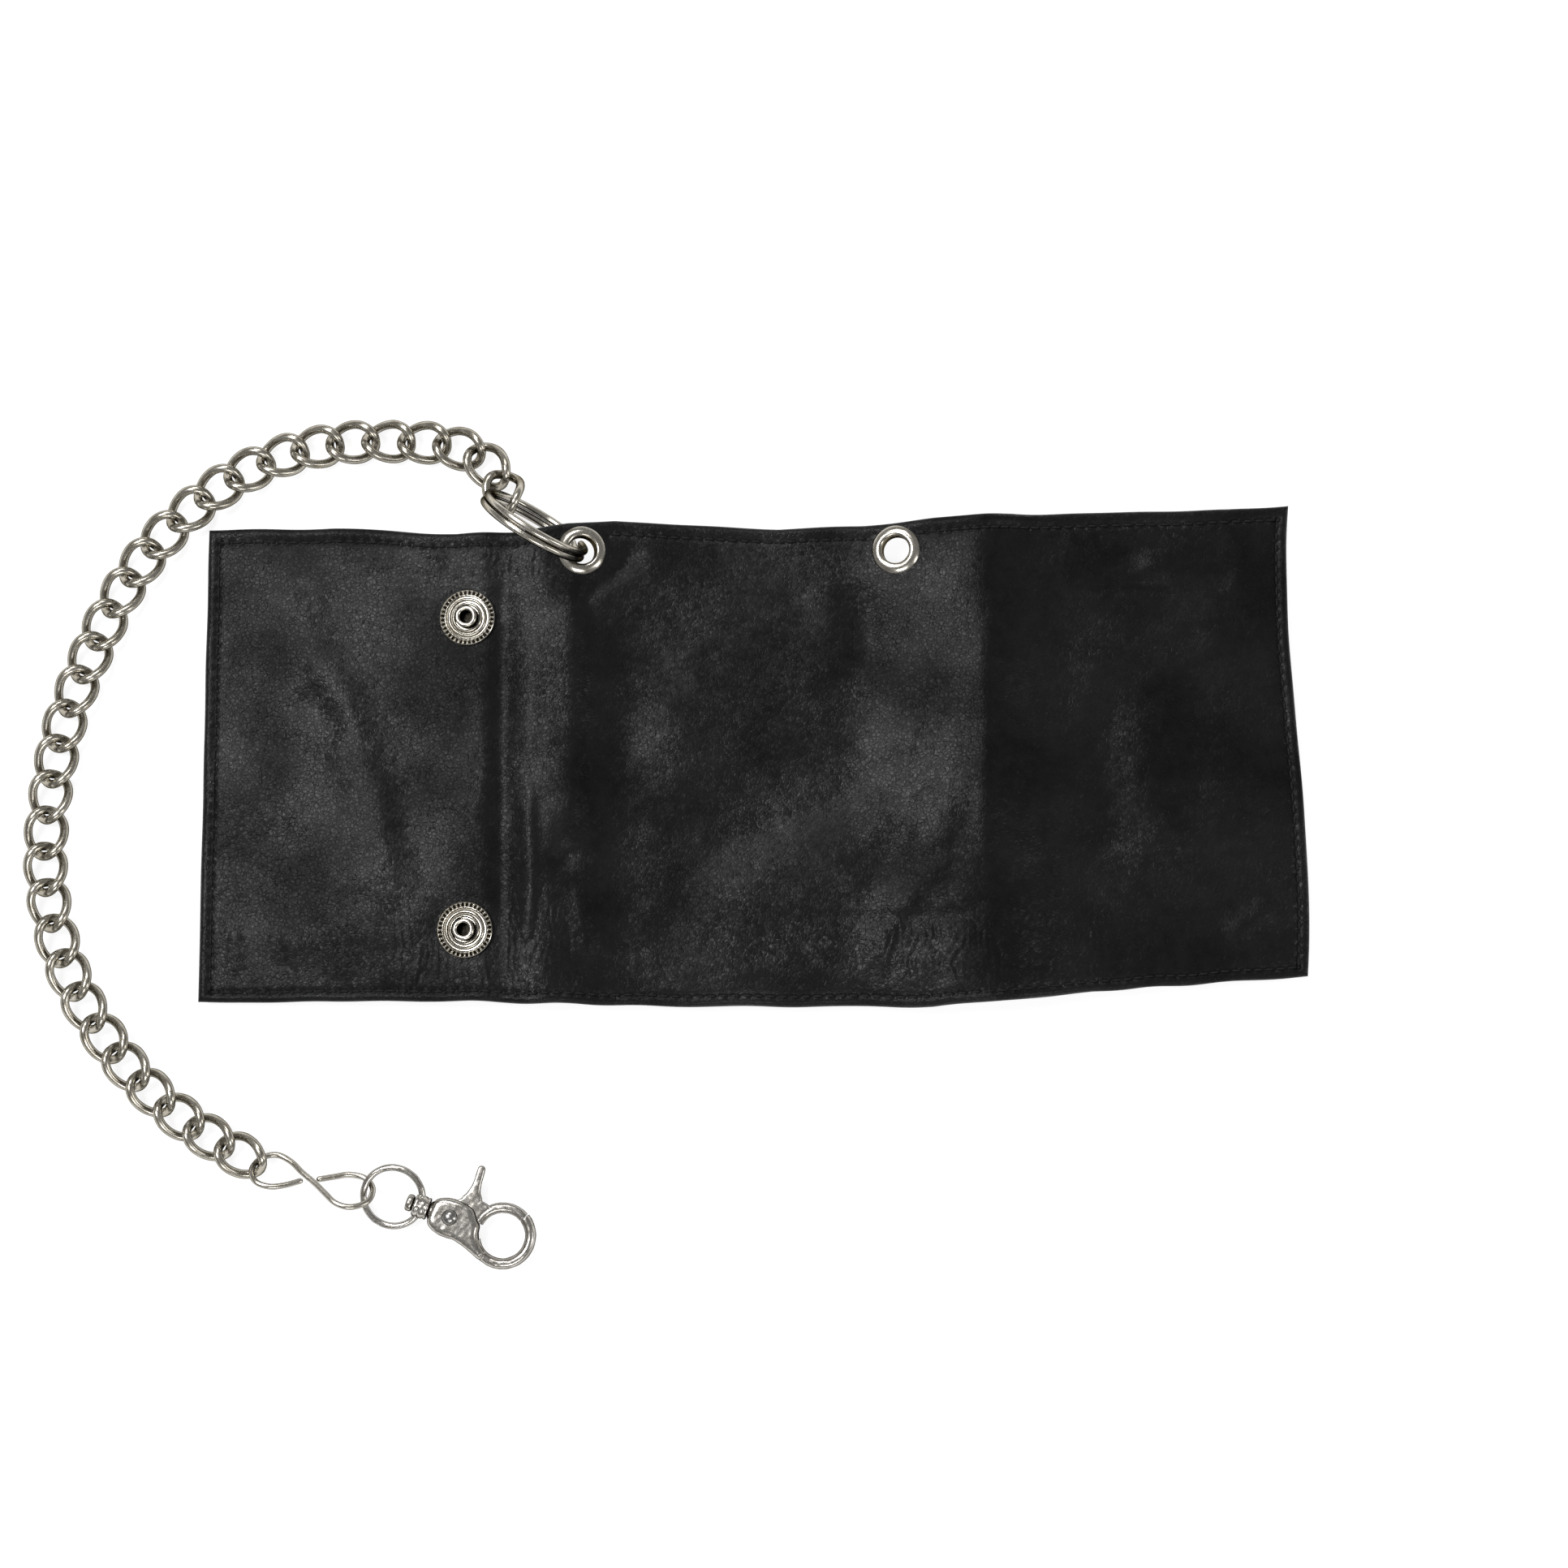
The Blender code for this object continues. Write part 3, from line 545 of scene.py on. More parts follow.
# ---- sheets ----
def marks(*spans):
    """Even marks over each (low, high, step) span, end to end."""
    found = []
    for low, high, step in spans:
        count = max(1, round((high - low) / step))
        found += [low + (high - low) * i / count for i in range(count)]
    return found + [spans[-1][1]]


def rounded_marks(low, high, radius):
    """Close marks over each rounded edge, at the low end and at the high end."""
    turn = [radius * (1 - math.cos(math.radians(a))) for a in (0, 18, 36, 54, 72)]
    return [low + d for d in turn], [high - d for d in reversed(turn)]


def sheet_mesh(name, stations, acrosses, top, bottom, looks, joined, holes=None, square=1.0):
    """A closed sheet over a grid of stations and distances across. top and bottom give the points of its two
    faces. On a joined side (low station, high station, low across, high across) the two faces share the
    edge's points; on another they are walled up. holes marks the grid's cells that are cut out."""
    s, a = np.meshgrid(stations, acrosses, indexing="ij")
    n, m = s.shape
    upper, lower = top(s, a).reshape(-1, 3), bottom(s, a).reshape(-1, 3)
    first = np.arange(n * m).reshape(n, m)
    shared = np.zeros((n, m), bool)
    shared[0] |= bool(joined[0])
    shared[-1] |= bool(joined[1])
    shared[:, 0] |= bool(joined[2])
    shared[:, -1] |= bool(joined[3])
    second = np.where(shared, first, first + n * m)
    cells = np.ones((n - 1, m - 1), bool)
    if holes is not None:
        middle_s, middle_a = (s[1:, 1:] + s[:-1, :-1]) / 2, (a[1:, 1:] + a[:-1, :-1]) / 2
        cells &= ~holes(middle_s, middle_a)

    def quads(ids):
        return np.stack([ids[:-1, :-1], ids[1:, :-1], ids[1:, 1:], ids[:-1, 1:]], axis=-1)

    faces = [quads(first)[cells], quads(second)[cells][:, ::-1]]
    walls = []
    padded = np.pad(cells, 1)
    for step, edge in (((-1, 0), (0, 3)), ((1, 0), (2, 1)), ((0, -1), (1, 0)), ((0, 1), (3, 2))):
        open_side = cells & ~padded[1 + step[0]:n + step[0], 1 + step[1]:m + step[1]]
        over, under = quads(first)[open_side][:, edge], quads(second)[open_side][:, edge]
        wall = np.stack([over[:, 1], over[:, 0], under[:, 0], under[:, 1]], axis=-1)
        walls.append(wall[(over != under).any(axis=1)])
    faces += walls
    faces = [list(dict.fromkeys(f)) for f in np.concatenate(faces).tolist()]
    faces = [f for f in faces if len(f) > 2]
    points = np.concatenate([upper, lower])
    used = np.zeros(len(points), bool)
    for f in faces:
        used[f] = True
    fresh = np.cumsum(used) - 1
    faces = [[int(fresh[k]) for k in f] for f in faces]
    flat = np.stack([(s.ravel() + 120) / 240, (a.ravel() + 60) / 240], axis=-1)
    flat = np.concatenate([flat, flat])[used]
    count = int(cells.sum())
    which = np.zeros(len(faces), np.int32)
    which[count:] = 1 if len(looks) > 1 else 0
    return shape(name, points[used], faces, looks, sharp=50, uv=flat, which=which)


def bend(thing, side):
    """Bakes a sheet's placement into its points; the ends of its bend between the middle panel and a side panel
    are worked out but not used, so nothing is bent.
    """
    low, high = BENDS[side]
    start, end = place(low, 0.0)[0], place(high, 0.0)[0]
    end[2] = start[2]
    start, end = (start + SHIFT) * MM, (end + SHIFT) * MM
    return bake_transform(thing)


def leather_relief(s, a, far):
    """The leather's relief, and how much of it is left near the edge."""
    plain = place(s, a)[0]
    return relief(plain[..., 0], plain[..., 1]), ease((far + 0.6) / 4.0)


def leather_top(s, a):
    far = edge_distance(s, a)
    rise, share = leather_relief(s, a, far)
    rise = rise * share + stitch_dents(s, a) + edge_puff(far)
    return place_cloth(s, a, HEM / 2 - rim(far, EDGE_ROUND) * (HEM / 2 + rise))


def leather_bottom(s, a):
    far = edge_distance(s, a)
    rise, share = leather_relief(s, a, far)
    under = HEM + (LEATHER - HEM) * ease((far - HEM_WIDE) / 0.8)
    rise = 0.8 * np.maximum(rise, -0.45) * share
    return place_cloth(s, a, HEM / 2 + rim(far, EDGE_ROUND) * (under - rise - HEM / 2))


def hardware_holes(s, a):
    cut = np.zeros(s.shape, bool)
    for spots, radius in ((EYELETS, EYELET_HOLE), (STUDS, STUD_HOLE)):
        for spot in spots.values():
            cut |= np.hypot(s - spot[0], a - spot[1]) < radius
    return cut


def build_leather(looks):
    low, high = rounded_marks(-HALF_H, HALF_H, EDGE_ROUND)
    reach = HALF_H - EDGE_ROUND
    spans = ((-reach, -reach + 3.2, 0.36), (-reach + 3.2, reach - 3.4, 0.62), (reach - 3.4, reach, 0.36))
    acrosses = low + marks(*spans) + high
    low, high = rounded_marks(-HALF_W, HALF_W, EDGE_ROUND)
    reach = HALF_W - EDGE_ROUND
    spans = ((-reach, -reach + 3.2, 0.4), (-reach + 3.2, -76, 0.62), (-76, -30, 0.37), (-30, SEAM, 0.62))
    left = low + marks(*spans)
    right = marks((SEAM, 28, 0.62), (28, 73, 0.37), (73, reach - 3.2, 0.64), (reach - 3.2, reach, 0.4)) + high
    halves = (("left", left, (1, 0, 1, 1), HALF_W + SEAM), ("right", right, (0, 1, 1, 1), HALF_W - SEAM))
    for side, stations, joined, wide in halves:
        made = sheet_mesh(
            f"leather_{side}", stations, acrosses, leather_top, leather_bottom, looks, joined, hardware_holes
        )
        stand_in(made, "leather", None, f"cover_{side}", "cover_center")
        bend(made, side)


def layer_faces(over, under, sag):
    """Two faces of an inner layer between two depths, with a little looseness in the cloth."""

    def face(depth):
        def points(s, a):
            loose = sag * ripples(s, a, 17.0, 21) + 0.5 * sag * ripples(s, a, 6.0, 22)
            return place_cloth(s, a, depth - loose)

        return points

    return face(over), face(under)


def build_lining(look):
    over, under = layer_faces(*CLOTH_DEPTHS, 0.03)
    bottom = -HALF_H + 1.6
    acrosses = marks((bottom, LINING_TOP, 1.1))
    left = marks((-HALF_W + 1.6, -60, 1.6), (-60, -34, 0.8), (-34, SEAM, 1.6))
    right = marks((SEAM, 34, 1.6), (34, 64, 0.8), (64, HALF_W - 1.6, 1.6))
    for side, stations in (("left", left), ("right", right)):
        made = sheet_mesh(f"cloth_{side}", stations, acrosses, over, under, [look], (0, 0, 0, 0))
        stand_in(made, "lining", None, f"lining_{side}", "lining_center")
        bend(made, side)


def pocket_faces(low, high, depths, mouth):
    """Two faces of a leather pocket layer: rounded edges, a groove inside them, and an open mouth that
    stands off a little at the top."""

    def edge(s, a):
        return np.minimum(np.minimum(s - low[0], high[0] - s), np.minimum(a - low[1], high[1] - a))

    def face(sign):
        def points(s, a):
            far = edge(s, a)
            half = (depths[1] - depths[0]) / 2
            middle = (depths[0] + depths[1]) / 2
            groove = 0.12 * np.exp(-(((far - 2.2) / 0.6) ** 2)) if sign > 0 else 0.0
            open_up = mouth * ease(1 - (high[1] - a) / 10.0) * window(s, low[0] + 5, high[0] - 5, 10)
            swell = 0.05 * ripples(s, a, 22.0, 31)
            return place_cloth(s, a, middle + open_up + swell + sign * rim(far, half) * half - groove)

        return points

    return face(-1), face(1)


def pocket_marks(low, high, half, stops):
    """Marks over a pocket layer, with one on each side of its window if it has one."""
    start, end = rounded_marks(low, high, half)
    turns = (low + half, *stops, high - half)
    return start + marks(*((a, b, POCKET_GRID) for a, b in zip(turns, turns[1:]))) + end


def pocket(name, node, low, high, depths, look, body, mouth=0.25, holes=None, stops=()):
    """A pocket layer; stops are its window's low and high station, then its low and high distance across."""
    half = (depths[1] - depths[0]) / 2
    grid = [pocket_marks(low[k], high[k], half, stops[2 * k:2 * k + 2]) for k in (0, 1)]
    made = sheet_mesh(name, *grid, *pocket_faces(low, high, depths, mouth), [look], (1, 1, 1, 1), holes)
    stand_in(made, "leather", body, node)


def build_pockets(look, clear):
    bottom, top = -HALF_H + 2.4, LINING_TOP - 1.0
    for name, node, start, end, depths, body in (
        ("pocket_left_back", "card_slot_left_1", -115.0, -56.0, BACK_DEPTHS, "left_panel"),
        ("pocket_left_front", "card_slot_left_2", -115.0, -68.0, FRONT_DEPTHS, "left_panel"),
        ("pocket_right", "card_slot_right", 72.0, 105.5, BACK_DEPTHS, "right_panel"),
    ):
        pocket(name, node, (start, bottom), (end, top), depths, look, body)
    low, high = (-23.0, -HALF_H + 9.0), (19.0, LINING_TOP - 8.0)

    def opening(s, a):
        return (s > low[0]) & (s < high[0]) & (a > low[1]) & (a < high[1])

    pocket(
        "id_pocket", "id_frame", (-29.0, bottom), (25.0, top), FRAME_DEPTHS, look, "center_panel",
        0.0, opening, (low[0], high[0], low[1], high[1]),
    )
    grid = [marks((low[k] + 0.3, high[k] - 0.3, 2.0)) for k in (0, 1)]
    made = sheet_mesh("id_pane", *grid, *layer_faces(*PANE_DEPTHS, 0.02), [clear], (0, 0, 0, 0))
    stand_in(made, "clear", "center_panel", "id_window")


# ---- thread ----
def stitch_parts(at, along, normal, length):
    """One stitch: a short bowed thread that dives into its holes."""
    side = np.cross(normal, along)
    rings, sides, points = 7, 6, []
    for i in range(rings):
        t = -1 + 2 * i / (rings - 1)
        wide = THREAD * math.sqrt(max(1 - abs(t) ** 3.5, 0.06))
        middle = at + along * t * length / 2 + normal * (0.14 - 0.34 * t**4)
        for k in range(sides):
            a = 2 * math.pi * (k + 0.5) / sides
            points.append(middle + wide * (math.cos(a) * side + math.sin(a) * normal))
    return points, skin(rings, sides)


def build_thread(look):
    places, runs = [], []
    for fixed, value, start, pitch, count in rows_of_stitches():
        for k in range(count):
            run = start + (k + 0.5) * pitch
            places.append((run, value) if fixed == "across" else (value, run))
            runs.append((0.3, 0.0, pitch) if fixed == "across" else (0.0, 0.3, pitch))
    places, runs = np.array(places), np.array(runs)
    kept = ~covered(places[:, 0], places[:, 1], 6.0)
    places, runs = places[kept], runs[kept]
    s, a = places.T
    outside, ahead = leather_top(s, a), leather_top(s + runs[:, 0], a + runs[:, 1])
    inside = place_cloth(s, a, np.where(a < LINING_TOP, 2.62, HEM))
    normals = place(s, a)[1]
    halves = {"left": [], "right": []}
    for k in range(len(s)):
        along = unit(ahead[k] - outside[k])
        normal = unit(normals[k] - along * (normals[k] @ along))
        half = halves["left" if s[k] < SEAM else "right"]
        half.append(stitch_parts(outside[k], along, normal, runs[k, 2] - 0.25))
        half.append(stitch_parts(inside[k], along, -normal, runs[k, 2] - 0.25))
    for side, parts in halves.items():
        made = turn_out(shape(f"thread_{side}", *gather(*parts), look))
        bend(made, side)


# ---- hardware on the leather, as (radius, height) outlines ----
EYELET_RING = [
    (2.95, -2.3), (2.95, 0.1), (3.02, 0.42), (3.25, 0.68), (3.6, 0.8), (4.05, 0.76), (4.5, 0.58),
    (4.9, 0.32), (5.15, 0.12), (5.25, -0.04), (5.1, -0.1), (3.35, -0.1), (3.35, -1.95), (4.0, -2.0),
    (4.25, -2.1), (4.25, -2.25), (4.0, -2.3),
]
EYELET_BACK = [
    (3.45, -1.9), (3.45, -1.5), (3.6, -1.38), (4.9, -1.38), (5.05, -1.5), (5.05, -1.8), (4.9, -1.9),
]
STUD_CAP = [
    (0, -0.9), (1.7, -0.9), (1.75, 0.05), (5.6, 0.05), (5.9, 0.12), (6.02, 0.3), (5.95, 0.5), (5.8, 0.6),
    (5.72, 0.42), (5.6, 0.2), (5.47, 0.12), (5.33, 0.12), (5.2, 0.12), (5.06, 0.2), (4.96, 0.5),
    (4.85, 0.68), (4.7, 0.7), (4.6, 0.5), (4.5, 0.2), (4.3, 0.18), (4.2, 0.5), (4.05, 0.78), (3.8, 0.8),
    (3.65, 0.55), (3.55, 0.2), (3.35, 0.18), (3.25, 0.55), (3.1, 0.85), (2.85, 0.88), (2.7, 0.6),
    (2.6, 0.3), (2.42, 0.3), (2.36, 1.2), (2.4, 1.9), (2.32, 2.2), (2.1, 2.42), (1.8, 2.48), (1.5, 2.4),
    (1.3, 2.1), (1.22, 1.5), (1.2, 0.7), (1.2, -0.5), (0, -0.5),
]
STUD_POST = [
    (0, -0.95), (1.6, -0.95), (1.6, -1.38), (3.2, -1.38), (3.45, -1.45), (3.5, -1.6), (3.4, -1.76),
    (3.0, -1.85), (1.5, -1.88), (1.15, -1.8), (1.0, -1.6), (0, -1.6),
]
SOCKET_CUP = [
    (0, -2.66), (3.9, -2.66), (4.15, -2.8), (4.2, -3.0), (4.2, -3.9), (4.1, -4.2), (3.95, -4.42),
    (3.8, -4.5), (3.4, -4.5), (2.95, -4.42), (2.7, -4.25), (2.65, -4.0), (2.65, -3.6), (2.75, -3.3),
    (2.65, -3.0), (2.4, -2.95), (0, -2.95),
]


def turned(name, outline, spot, sides, look, sharp, body, node, wave=None):
    """A turned metal piece that stands on the leather at a spot."""
    made = solid(name, lathe_parts(outline, *place(*spot), sides, wave), look, sharp)
    return stand_in(made, "nickel", body, node)


def build_eyelets(look):
    for side, spot in EYELETS.items():
        turned(f"eyelet_ring_{side}", EYELET_RING, spot, 72, look, 50, "center_panel", f"eyelet_{side}")
        turned(f"eyelet_back_{side}", EYELET_BACK, spot, 60, look, 38, "center_panel", f"eyelet_washer_{side}")


def beads(angle, radius, rise):
    """The rim's beads: raised dots between two smooth edges."""
    if not 4.95 < radius < 5.75 or rise < 0.08:
        return 0.0
    across = 1 - ((radius - BEAD_RING) / BEAD_HALF) ** 2
    return BEAD_RISE * max(across, 0.0) * (0.5 + 0.5 * math.cos(BEADS * angle))


def paint_stud_recess_shade(stud, spot, inside):
    """Gives the stud's hole and the grooves between its beads their own near-black material, which is painted
    shade in these recesses.
    """
    at, normal = place(*spot)
    stud.data.materials.append(inside)
    for face in stud.data.polygons:
        near = np.array(face.center) / MM - SHIFT - at
        deep = near @ normal
        from_axis = np.linalg.norm(near - deep * normal)
        in_hole = from_axis < 1.25 and deep < 1.9
        between_beads = 4.98 < from_axis < 5.7 and 0.08 < deep < 0.36
        if in_hole or between_beads:
            face.material_index = 1


def build_snaps(look, inside):
    for which, spot in STUDS.items():
        made = turned(
            f"stud_{which}", STUD_CAP, spot, 8 * BEADS, look, 60, "left_panel", f"snap_stud_{which}", beads
        )
        paint_stud_recess_shade(made, spot, inside)
        turned(f"stud_post_{which}", STUD_POST, spot, 48, look, 50, "left_panel", f"snap_post_{which}")
    for which, spot in SOCKETS.items():
        turned(f"socket_{which}", SOCKET_CUP, spot, 72, look, 50, "right_panel", f"snap_socket_{which}")


# ---- key ring and chain ----
def ring_frame():
    away = np.array([-RING_ALONG[1], RING_ALONG[0], 0.0])
    away = -away if away[1] > 0 else away
    up = away * math.sin(RING_LEAN) + UP * math.cos(RING_LEAN)
    return RING_ALONG, up, np.cross(RING_ALONG, up)


def build_key_ring(look):
    along, up, axis = ring_frame()
    line, ups = [], []
    start, cross = math.radians(250.0), math.radians(30.0)
    turns = 4 * math.pi - cross - math.radians(4.0)
    middle = RING_C + (0.0, 0.0, RING_RISE)
    for i in range(RING_STEPS + 1):
        a = turns * i / RING_STEPS
        shift = ease((a - 2 * math.pi + cross) / cross)
        out = along * math.cos(start + a) + up * math.sin(start + a)
        line.append(middle + RING_R * out + (shift - 0.5) * (2 * RING_WIRE + 0.06) * axis)
        ups.append(out)
    parts = tube_parts(line, RING_WIRE, RING_WIRE * 0.98, 16, ups=ups, round_ends=True)
    stand_in(solid("split_ring", parts, look), "nickel", "ring", "key_ring")


def link_line():
    """One link's wire in its own axes: a squarish oval, twisted from end to end."""
    found = []
    for i in range(LINK_STEPS):
        a = 2 * math.pi * i / LINK_STEPS
        c, s = math.cos(a), math.sin(a)
        x = LINK_L * math.copysign(abs(c) ** (2 / LINK_POWER), c)
        y = LINK_W * math.copysign(abs(s) ** (2 / LINK_POWER), s)
        twist = LINK_TWIST * x / LINK_L
        found.append((x, y * math.cos(twist), y * math.sin(twist)))
    return smooth_line(found, 0.5, closed=True)


def chain_joints():
    fine = smooth_line(ROUTE, 0.05)
    found, at = [fine[0]], 0
    while len(found) < LINKS + 1:
        far = np.linalg.norm(fine[at:] - found[-1], axis=1)
        past = int(np.argmax(far >= PITCH))
        a, b = fine[at + past - 1], fine[at + past]
        da, db = far[past - 1], far[past]
        found.append(a + (b - a) * (PITCH - da) / (db - da))
        at += past
    return found


def link_axes(i, start, end):
    along = unit(end - start)
    up = UP
    if i == 0:
        ring_along, ring_up, _ = ring_frame()
        out = (start + end) / 2 - RING_C
        a = math.atan2(out @ ring_up, out @ ring_along)
        up = ring_up * math.cos(a) - ring_along * math.sin(a)
        up = up if up[2] > 0 else -up
    roll = FIRST_ROLLS.get(i, math.radians(5.0) * math.sin(2.1 * i))
    up = unit(up - along * (up @ along))
    across = np.cross(up, along)
    return along, math.cos(roll) * across + math.sin(roll) * up, math.cos(roll) * up - math.sin(roll) * across


def build_chain(look):
    meets = chain_joints()
    line = link_line()
    for i in range(LINKS):
        along, across, up = link_axes(i, meets[i], meets[i + 1])
        middle = (meets[i] + meets[i + 1]) / 2 + (0.0, 0.0, LINK_LIFT)
        wire = [middle + along * x + across * y + up * z for x, y, z in line]
        made = solid(f"curb_link_{i:02d}", tube_parts(wire, LINK_WIRE, sides=14, closed=True), look)
        stand_in(made, "nickel", f"link_{i:02d}_body", f"link_{i:02d}")


def build_s_hook(look):
    across = np.array([-S_ALONG[1], S_ALONG[0], 0.0]) * math.cos(S_ROLL) + UP * math.sin(S_ROLL)
    line = [S_MID + S_ALONG * u + across * v for u, v in smooth_line(S_LINE, 0.45)]
    up = np.cross(S_ALONG, across)
    parts = tube_parts(line, S_WIRE, sides=12, ups=[up] * len(line), round_ends=True)
    stand_in(solid("wire_s_hook", parts, look), "nickel", "s_link", "s_hook")


# ---- the snap hook ----
def hook_point(x, y, z=0.0):
    c, s = math.cos(HOOK_HEADING), math.sin(HOOK_HEADING)
    return HOOK_AT + np.array([c * x - s * y, s * x + c * y, z])


HOOK_AXIS = hook_point(1, 0) - hook_point(0, 0)


def arc(centre, radius, start, end, steps):
    angles = [start + (end - start) * i / steps for i in range(steps + 1)]
    return [(centre[0] + radius * math.cos(a), centre[1] + radius * math.sin(a)) for a in angles]


def plate_parts(outline, low, high, edge=0.5, step=0.3):
    """A flat plate of the hook with rounded edges, from an outline that runs counter-clockwise."""
    line = smooth_line(outline, step, closed=True)
    ahead = np.roll(line, -1, axis=0) - np.roll(line, 1, axis=0)
    ahead /= np.linalg.norm(ahead, axis=1)[:, None]
    inward = np.stack([-ahead[:, 1], ahead[:, 0]], axis=1)
    levels = []
    turns = [(a, low + edge, -edge) for a in (90, 60, 30, 0)]
    turns += [(a, high - edge, edge) for a in (0, 30, 60, 90)]
    for a, start, rise in turns:
        levels.append((edge * (1 - math.cos(math.radians(a))), start + rise * math.sin(math.radians(a))))
    points, count = [], len(line)
    for inset, z in levels:
        points += [hook_point(x, y, z) for x, y in line + inward * inset]
    faces = [tuple(reversed(range(count)))]
    for i in range(len(levels) - 1):
        a, b = i * count, (i + 1) * count
        faces += [(a + k, a + (k + 1) % count, b + (k + 1) % count, b + k) for k in range(count)]
    faces.append(tuple(range((len(levels) - 1) * count, len(levels) * count)))
    return points, faces


def cast(name, parts, look, grain, smoothing=3, cuts=()):
    """Joins overlapping solids into one cast piece with soft corners, then cuts others out of it."""
    rough = turn_out(shape(name + "_rough", *gather(*parts), look))
    step = rough.modifiers.new("join", "REMESH")
    step.mode, step.voxel_size = "VOXEL", grain * MM
    step = rough.modifiers.new("soften", "SMOOTH")
    step.factor, step.iterations = 0.5, smoothing
    tools = [turn_out(shape(f"{name}_tool_{i}", *gather(tool), look)) for i, tool in enumerate(cuts)]
    for tool in tools:
        step = rough.modifiers.new("cut", "BOOLEAN")
        step.operation, step.solver, step.object = "DIFFERENCE", "EXACT", tool
    graph = bpy.context.evaluated_depsgraph_get()
    mesh = bpy.data.meshes.new_from_object(rough.evaluated_get(graph))
    for used in [rough, *tools]:
        bpy.data.objects.remove(used, do_unlink=True)
    mesh.name = name
    points = np.empty((len(mesh.vertices), 3), np.float32)
    mesh.vertices.foreach_get("co", points.ravel())
    normals = np.empty_like(points)
    mesh.vertex_normals.foreach_get("vector", normals.ravel())
    x, y, z = (points / MM).T
    lumps = ripples(x + 0.7 * z, y - 0.6 * z, 2.6, 41) + 0.6 * ripples(x - 0.8 * z, y + 0.9 * z, 1.3, 42)
    points += normals * (LUMPS * MM * lumps)[:, None].astype(np.float32)
    mesh.vertices.foreach_set("co", points.ravel())
    mesh.materials.clear()
    mesh.materials.append(look)
    mesh.shade_smooth()
    mesh.set_sharp_from_angle(angle=math.radians(48))
    return add(name, mesh)


def eye_parts(start, end, wide, tall, steps, trim=0.0):
    """A stretch of the hook's ring, round in section."""
    centre = (EYE_X, 0.0)
    line = [hook_point(x, y) for x, y in arc(centre, EYE_MID - trim / 2, start, end, steps)]
    return tube_parts(line, wide, tall, 20, ups=[UP] * len(line))


def plate_outline(outline, low, high):
    """A plain flat plate with sharp edges, used as a cutter."""
    count = len(outline)
    points = [hook_point(x, y, z) for z in (low, high) for x, y in outline]
    faces = [tuple(reversed(range(count))), tuple(range(count, 2 * count))]
    faces += [(k, (k + 1) % count, count + (k + 1) % count, count + k) for k in range(count)]
    return points, faces


# ---- the cast pieces, as outlines in the hook's own plane and as (radius, height) outlines ----
CHEEKS = [
    (-4.4, -2.2), (-3.2, -3.6), (-0.6, -4.35), (2.2, -4.3), (4.6, -4.9), (6.9, -5.75), (8.9, -6.35),
    (9.35, -4.7), (7.7, -3.2), (6.75, -1.4), (6.45, 0.2), (5.4, 1.6), (4.3, 3.0), (2.6, 3.7), (0.2, 3.9),
    (-2.2, 3.6), (-3.9, 2.6), (-4.4, 1.2),
]
STEM = [
    (0, -9.9), (1.5, -9.9), (1.75, -9.7), (1.85, -9.4), (1.85, -8.8), (1.7, -8.5), (1.1, -8.4),
    (1.1, -4.85), (1.8, -4.75), (2.0, -4.5), (2.1, -3.2), (0, -3.2),
]
WEB_EDGE = [
    (3.2, -1.6), (5.2, -0.7), (5.7, 1.0), (6.2, 2.8), (7.2, 4.2), (6.6, 5.0), (4.6, 5.4), (1.6, 5.2),
]
TAB = [
    (0.9, 4.6), (2.0, 3.4), (4.4, 4.0), (5.0, 5.6), (4.2, 6.9), (3.85, 8.6), (3.6, 11.6), (3.3, 12.2),
    (2.7, 12.4), (2.15, 12.1), (2.0, 11.5), (2.05, 8.4), (1.6, 6.2),
]
COLLAR = [
    (0, -8.3), (1.7, -8.3), (2.2, -8.15), (2.42, -7.85), (2.42, -7.4), (2.2, -7.1), (2.2, -6.9),
    (2.46, -6.75), (2.46, -5.9), (2.2, -5.75), (2.2, -5.55), (2.42, -5.4), (2.3, -5.0), (1.9, -4.9),
    (0, -4.9),
]
RIVET_TOP = [
    (0, 3.5), (0.5, 3.45), (0.95, 3.28), (1.35, 3.0), (1.6, 2.7), (1.7, 2.4), (1.65, 2.2), (1.1, 2.1),
]
RIVET_UNDER = [
    (0, -3.2), (0.6, -3.17), (1.1, -3.05), (1.5, -2.8), (1.7, -2.5), (1.65, -2.2), (1.1, -2.1),
]


def rivet_bore(radius):
    """A cutter for the rivet's hole."""
    return lathe_parts([(0, -5), (radius, -5), (radius, 5), (0, 5)], hook_point(0, 0), (0, 0, 1), 32)


def build_hook_body(look):
    parts = [
        plate_parts(CHEEKS, -2.45, 2.45, 1.3), eye_parts(TAIL_AT, TIP_AT, EYE_HALF_W, EYE_HALF_T, 60),
        lathe_parts(STEM, hook_point(0, 0), HOOK_AXIS, 24),
    ]
    sweep = [(-3.3, -2.9)] + arc((0.0, 0.0), 7.75, math.radians(-34), math.radians(100), 16) + [(-3.3, 6.2)]
    slot = plate_outline(sweep, -SLOT_HALF, SLOT_HALF)
    made = cast("cast_body", parts, look, 0.17, 4, [slot, rivet_bore(1.13)])
    stand_in(made, "nickel", "hook", "hook_body")


def build_trigger(look):
    hub = arc((0.0, 0.0), 2.6, math.radians(110), math.radians(292), 14)
    parts = [
        plate_parts(hub + WEB_EDGE, -TRIGGER_HALF_T, TRIGGER_HALF_T, 0.35),
        plate_parts(TAB, -TRIGGER_HALF_T * 0.95, TRIGGER_HALF_T * 0.95, 0.45),
        eye_parts(GATE_FROM, GATE_TO, EYE_HALF_W * 0.95, TRIGGER_HALF_T, 40, 0.12),
    ]
    made = cast("cast_trigger", parts, look, 0.14, 3, [rivet_bore(1.2)])
    stand_in(made, "nickel", "trigger", "hook_trigger")


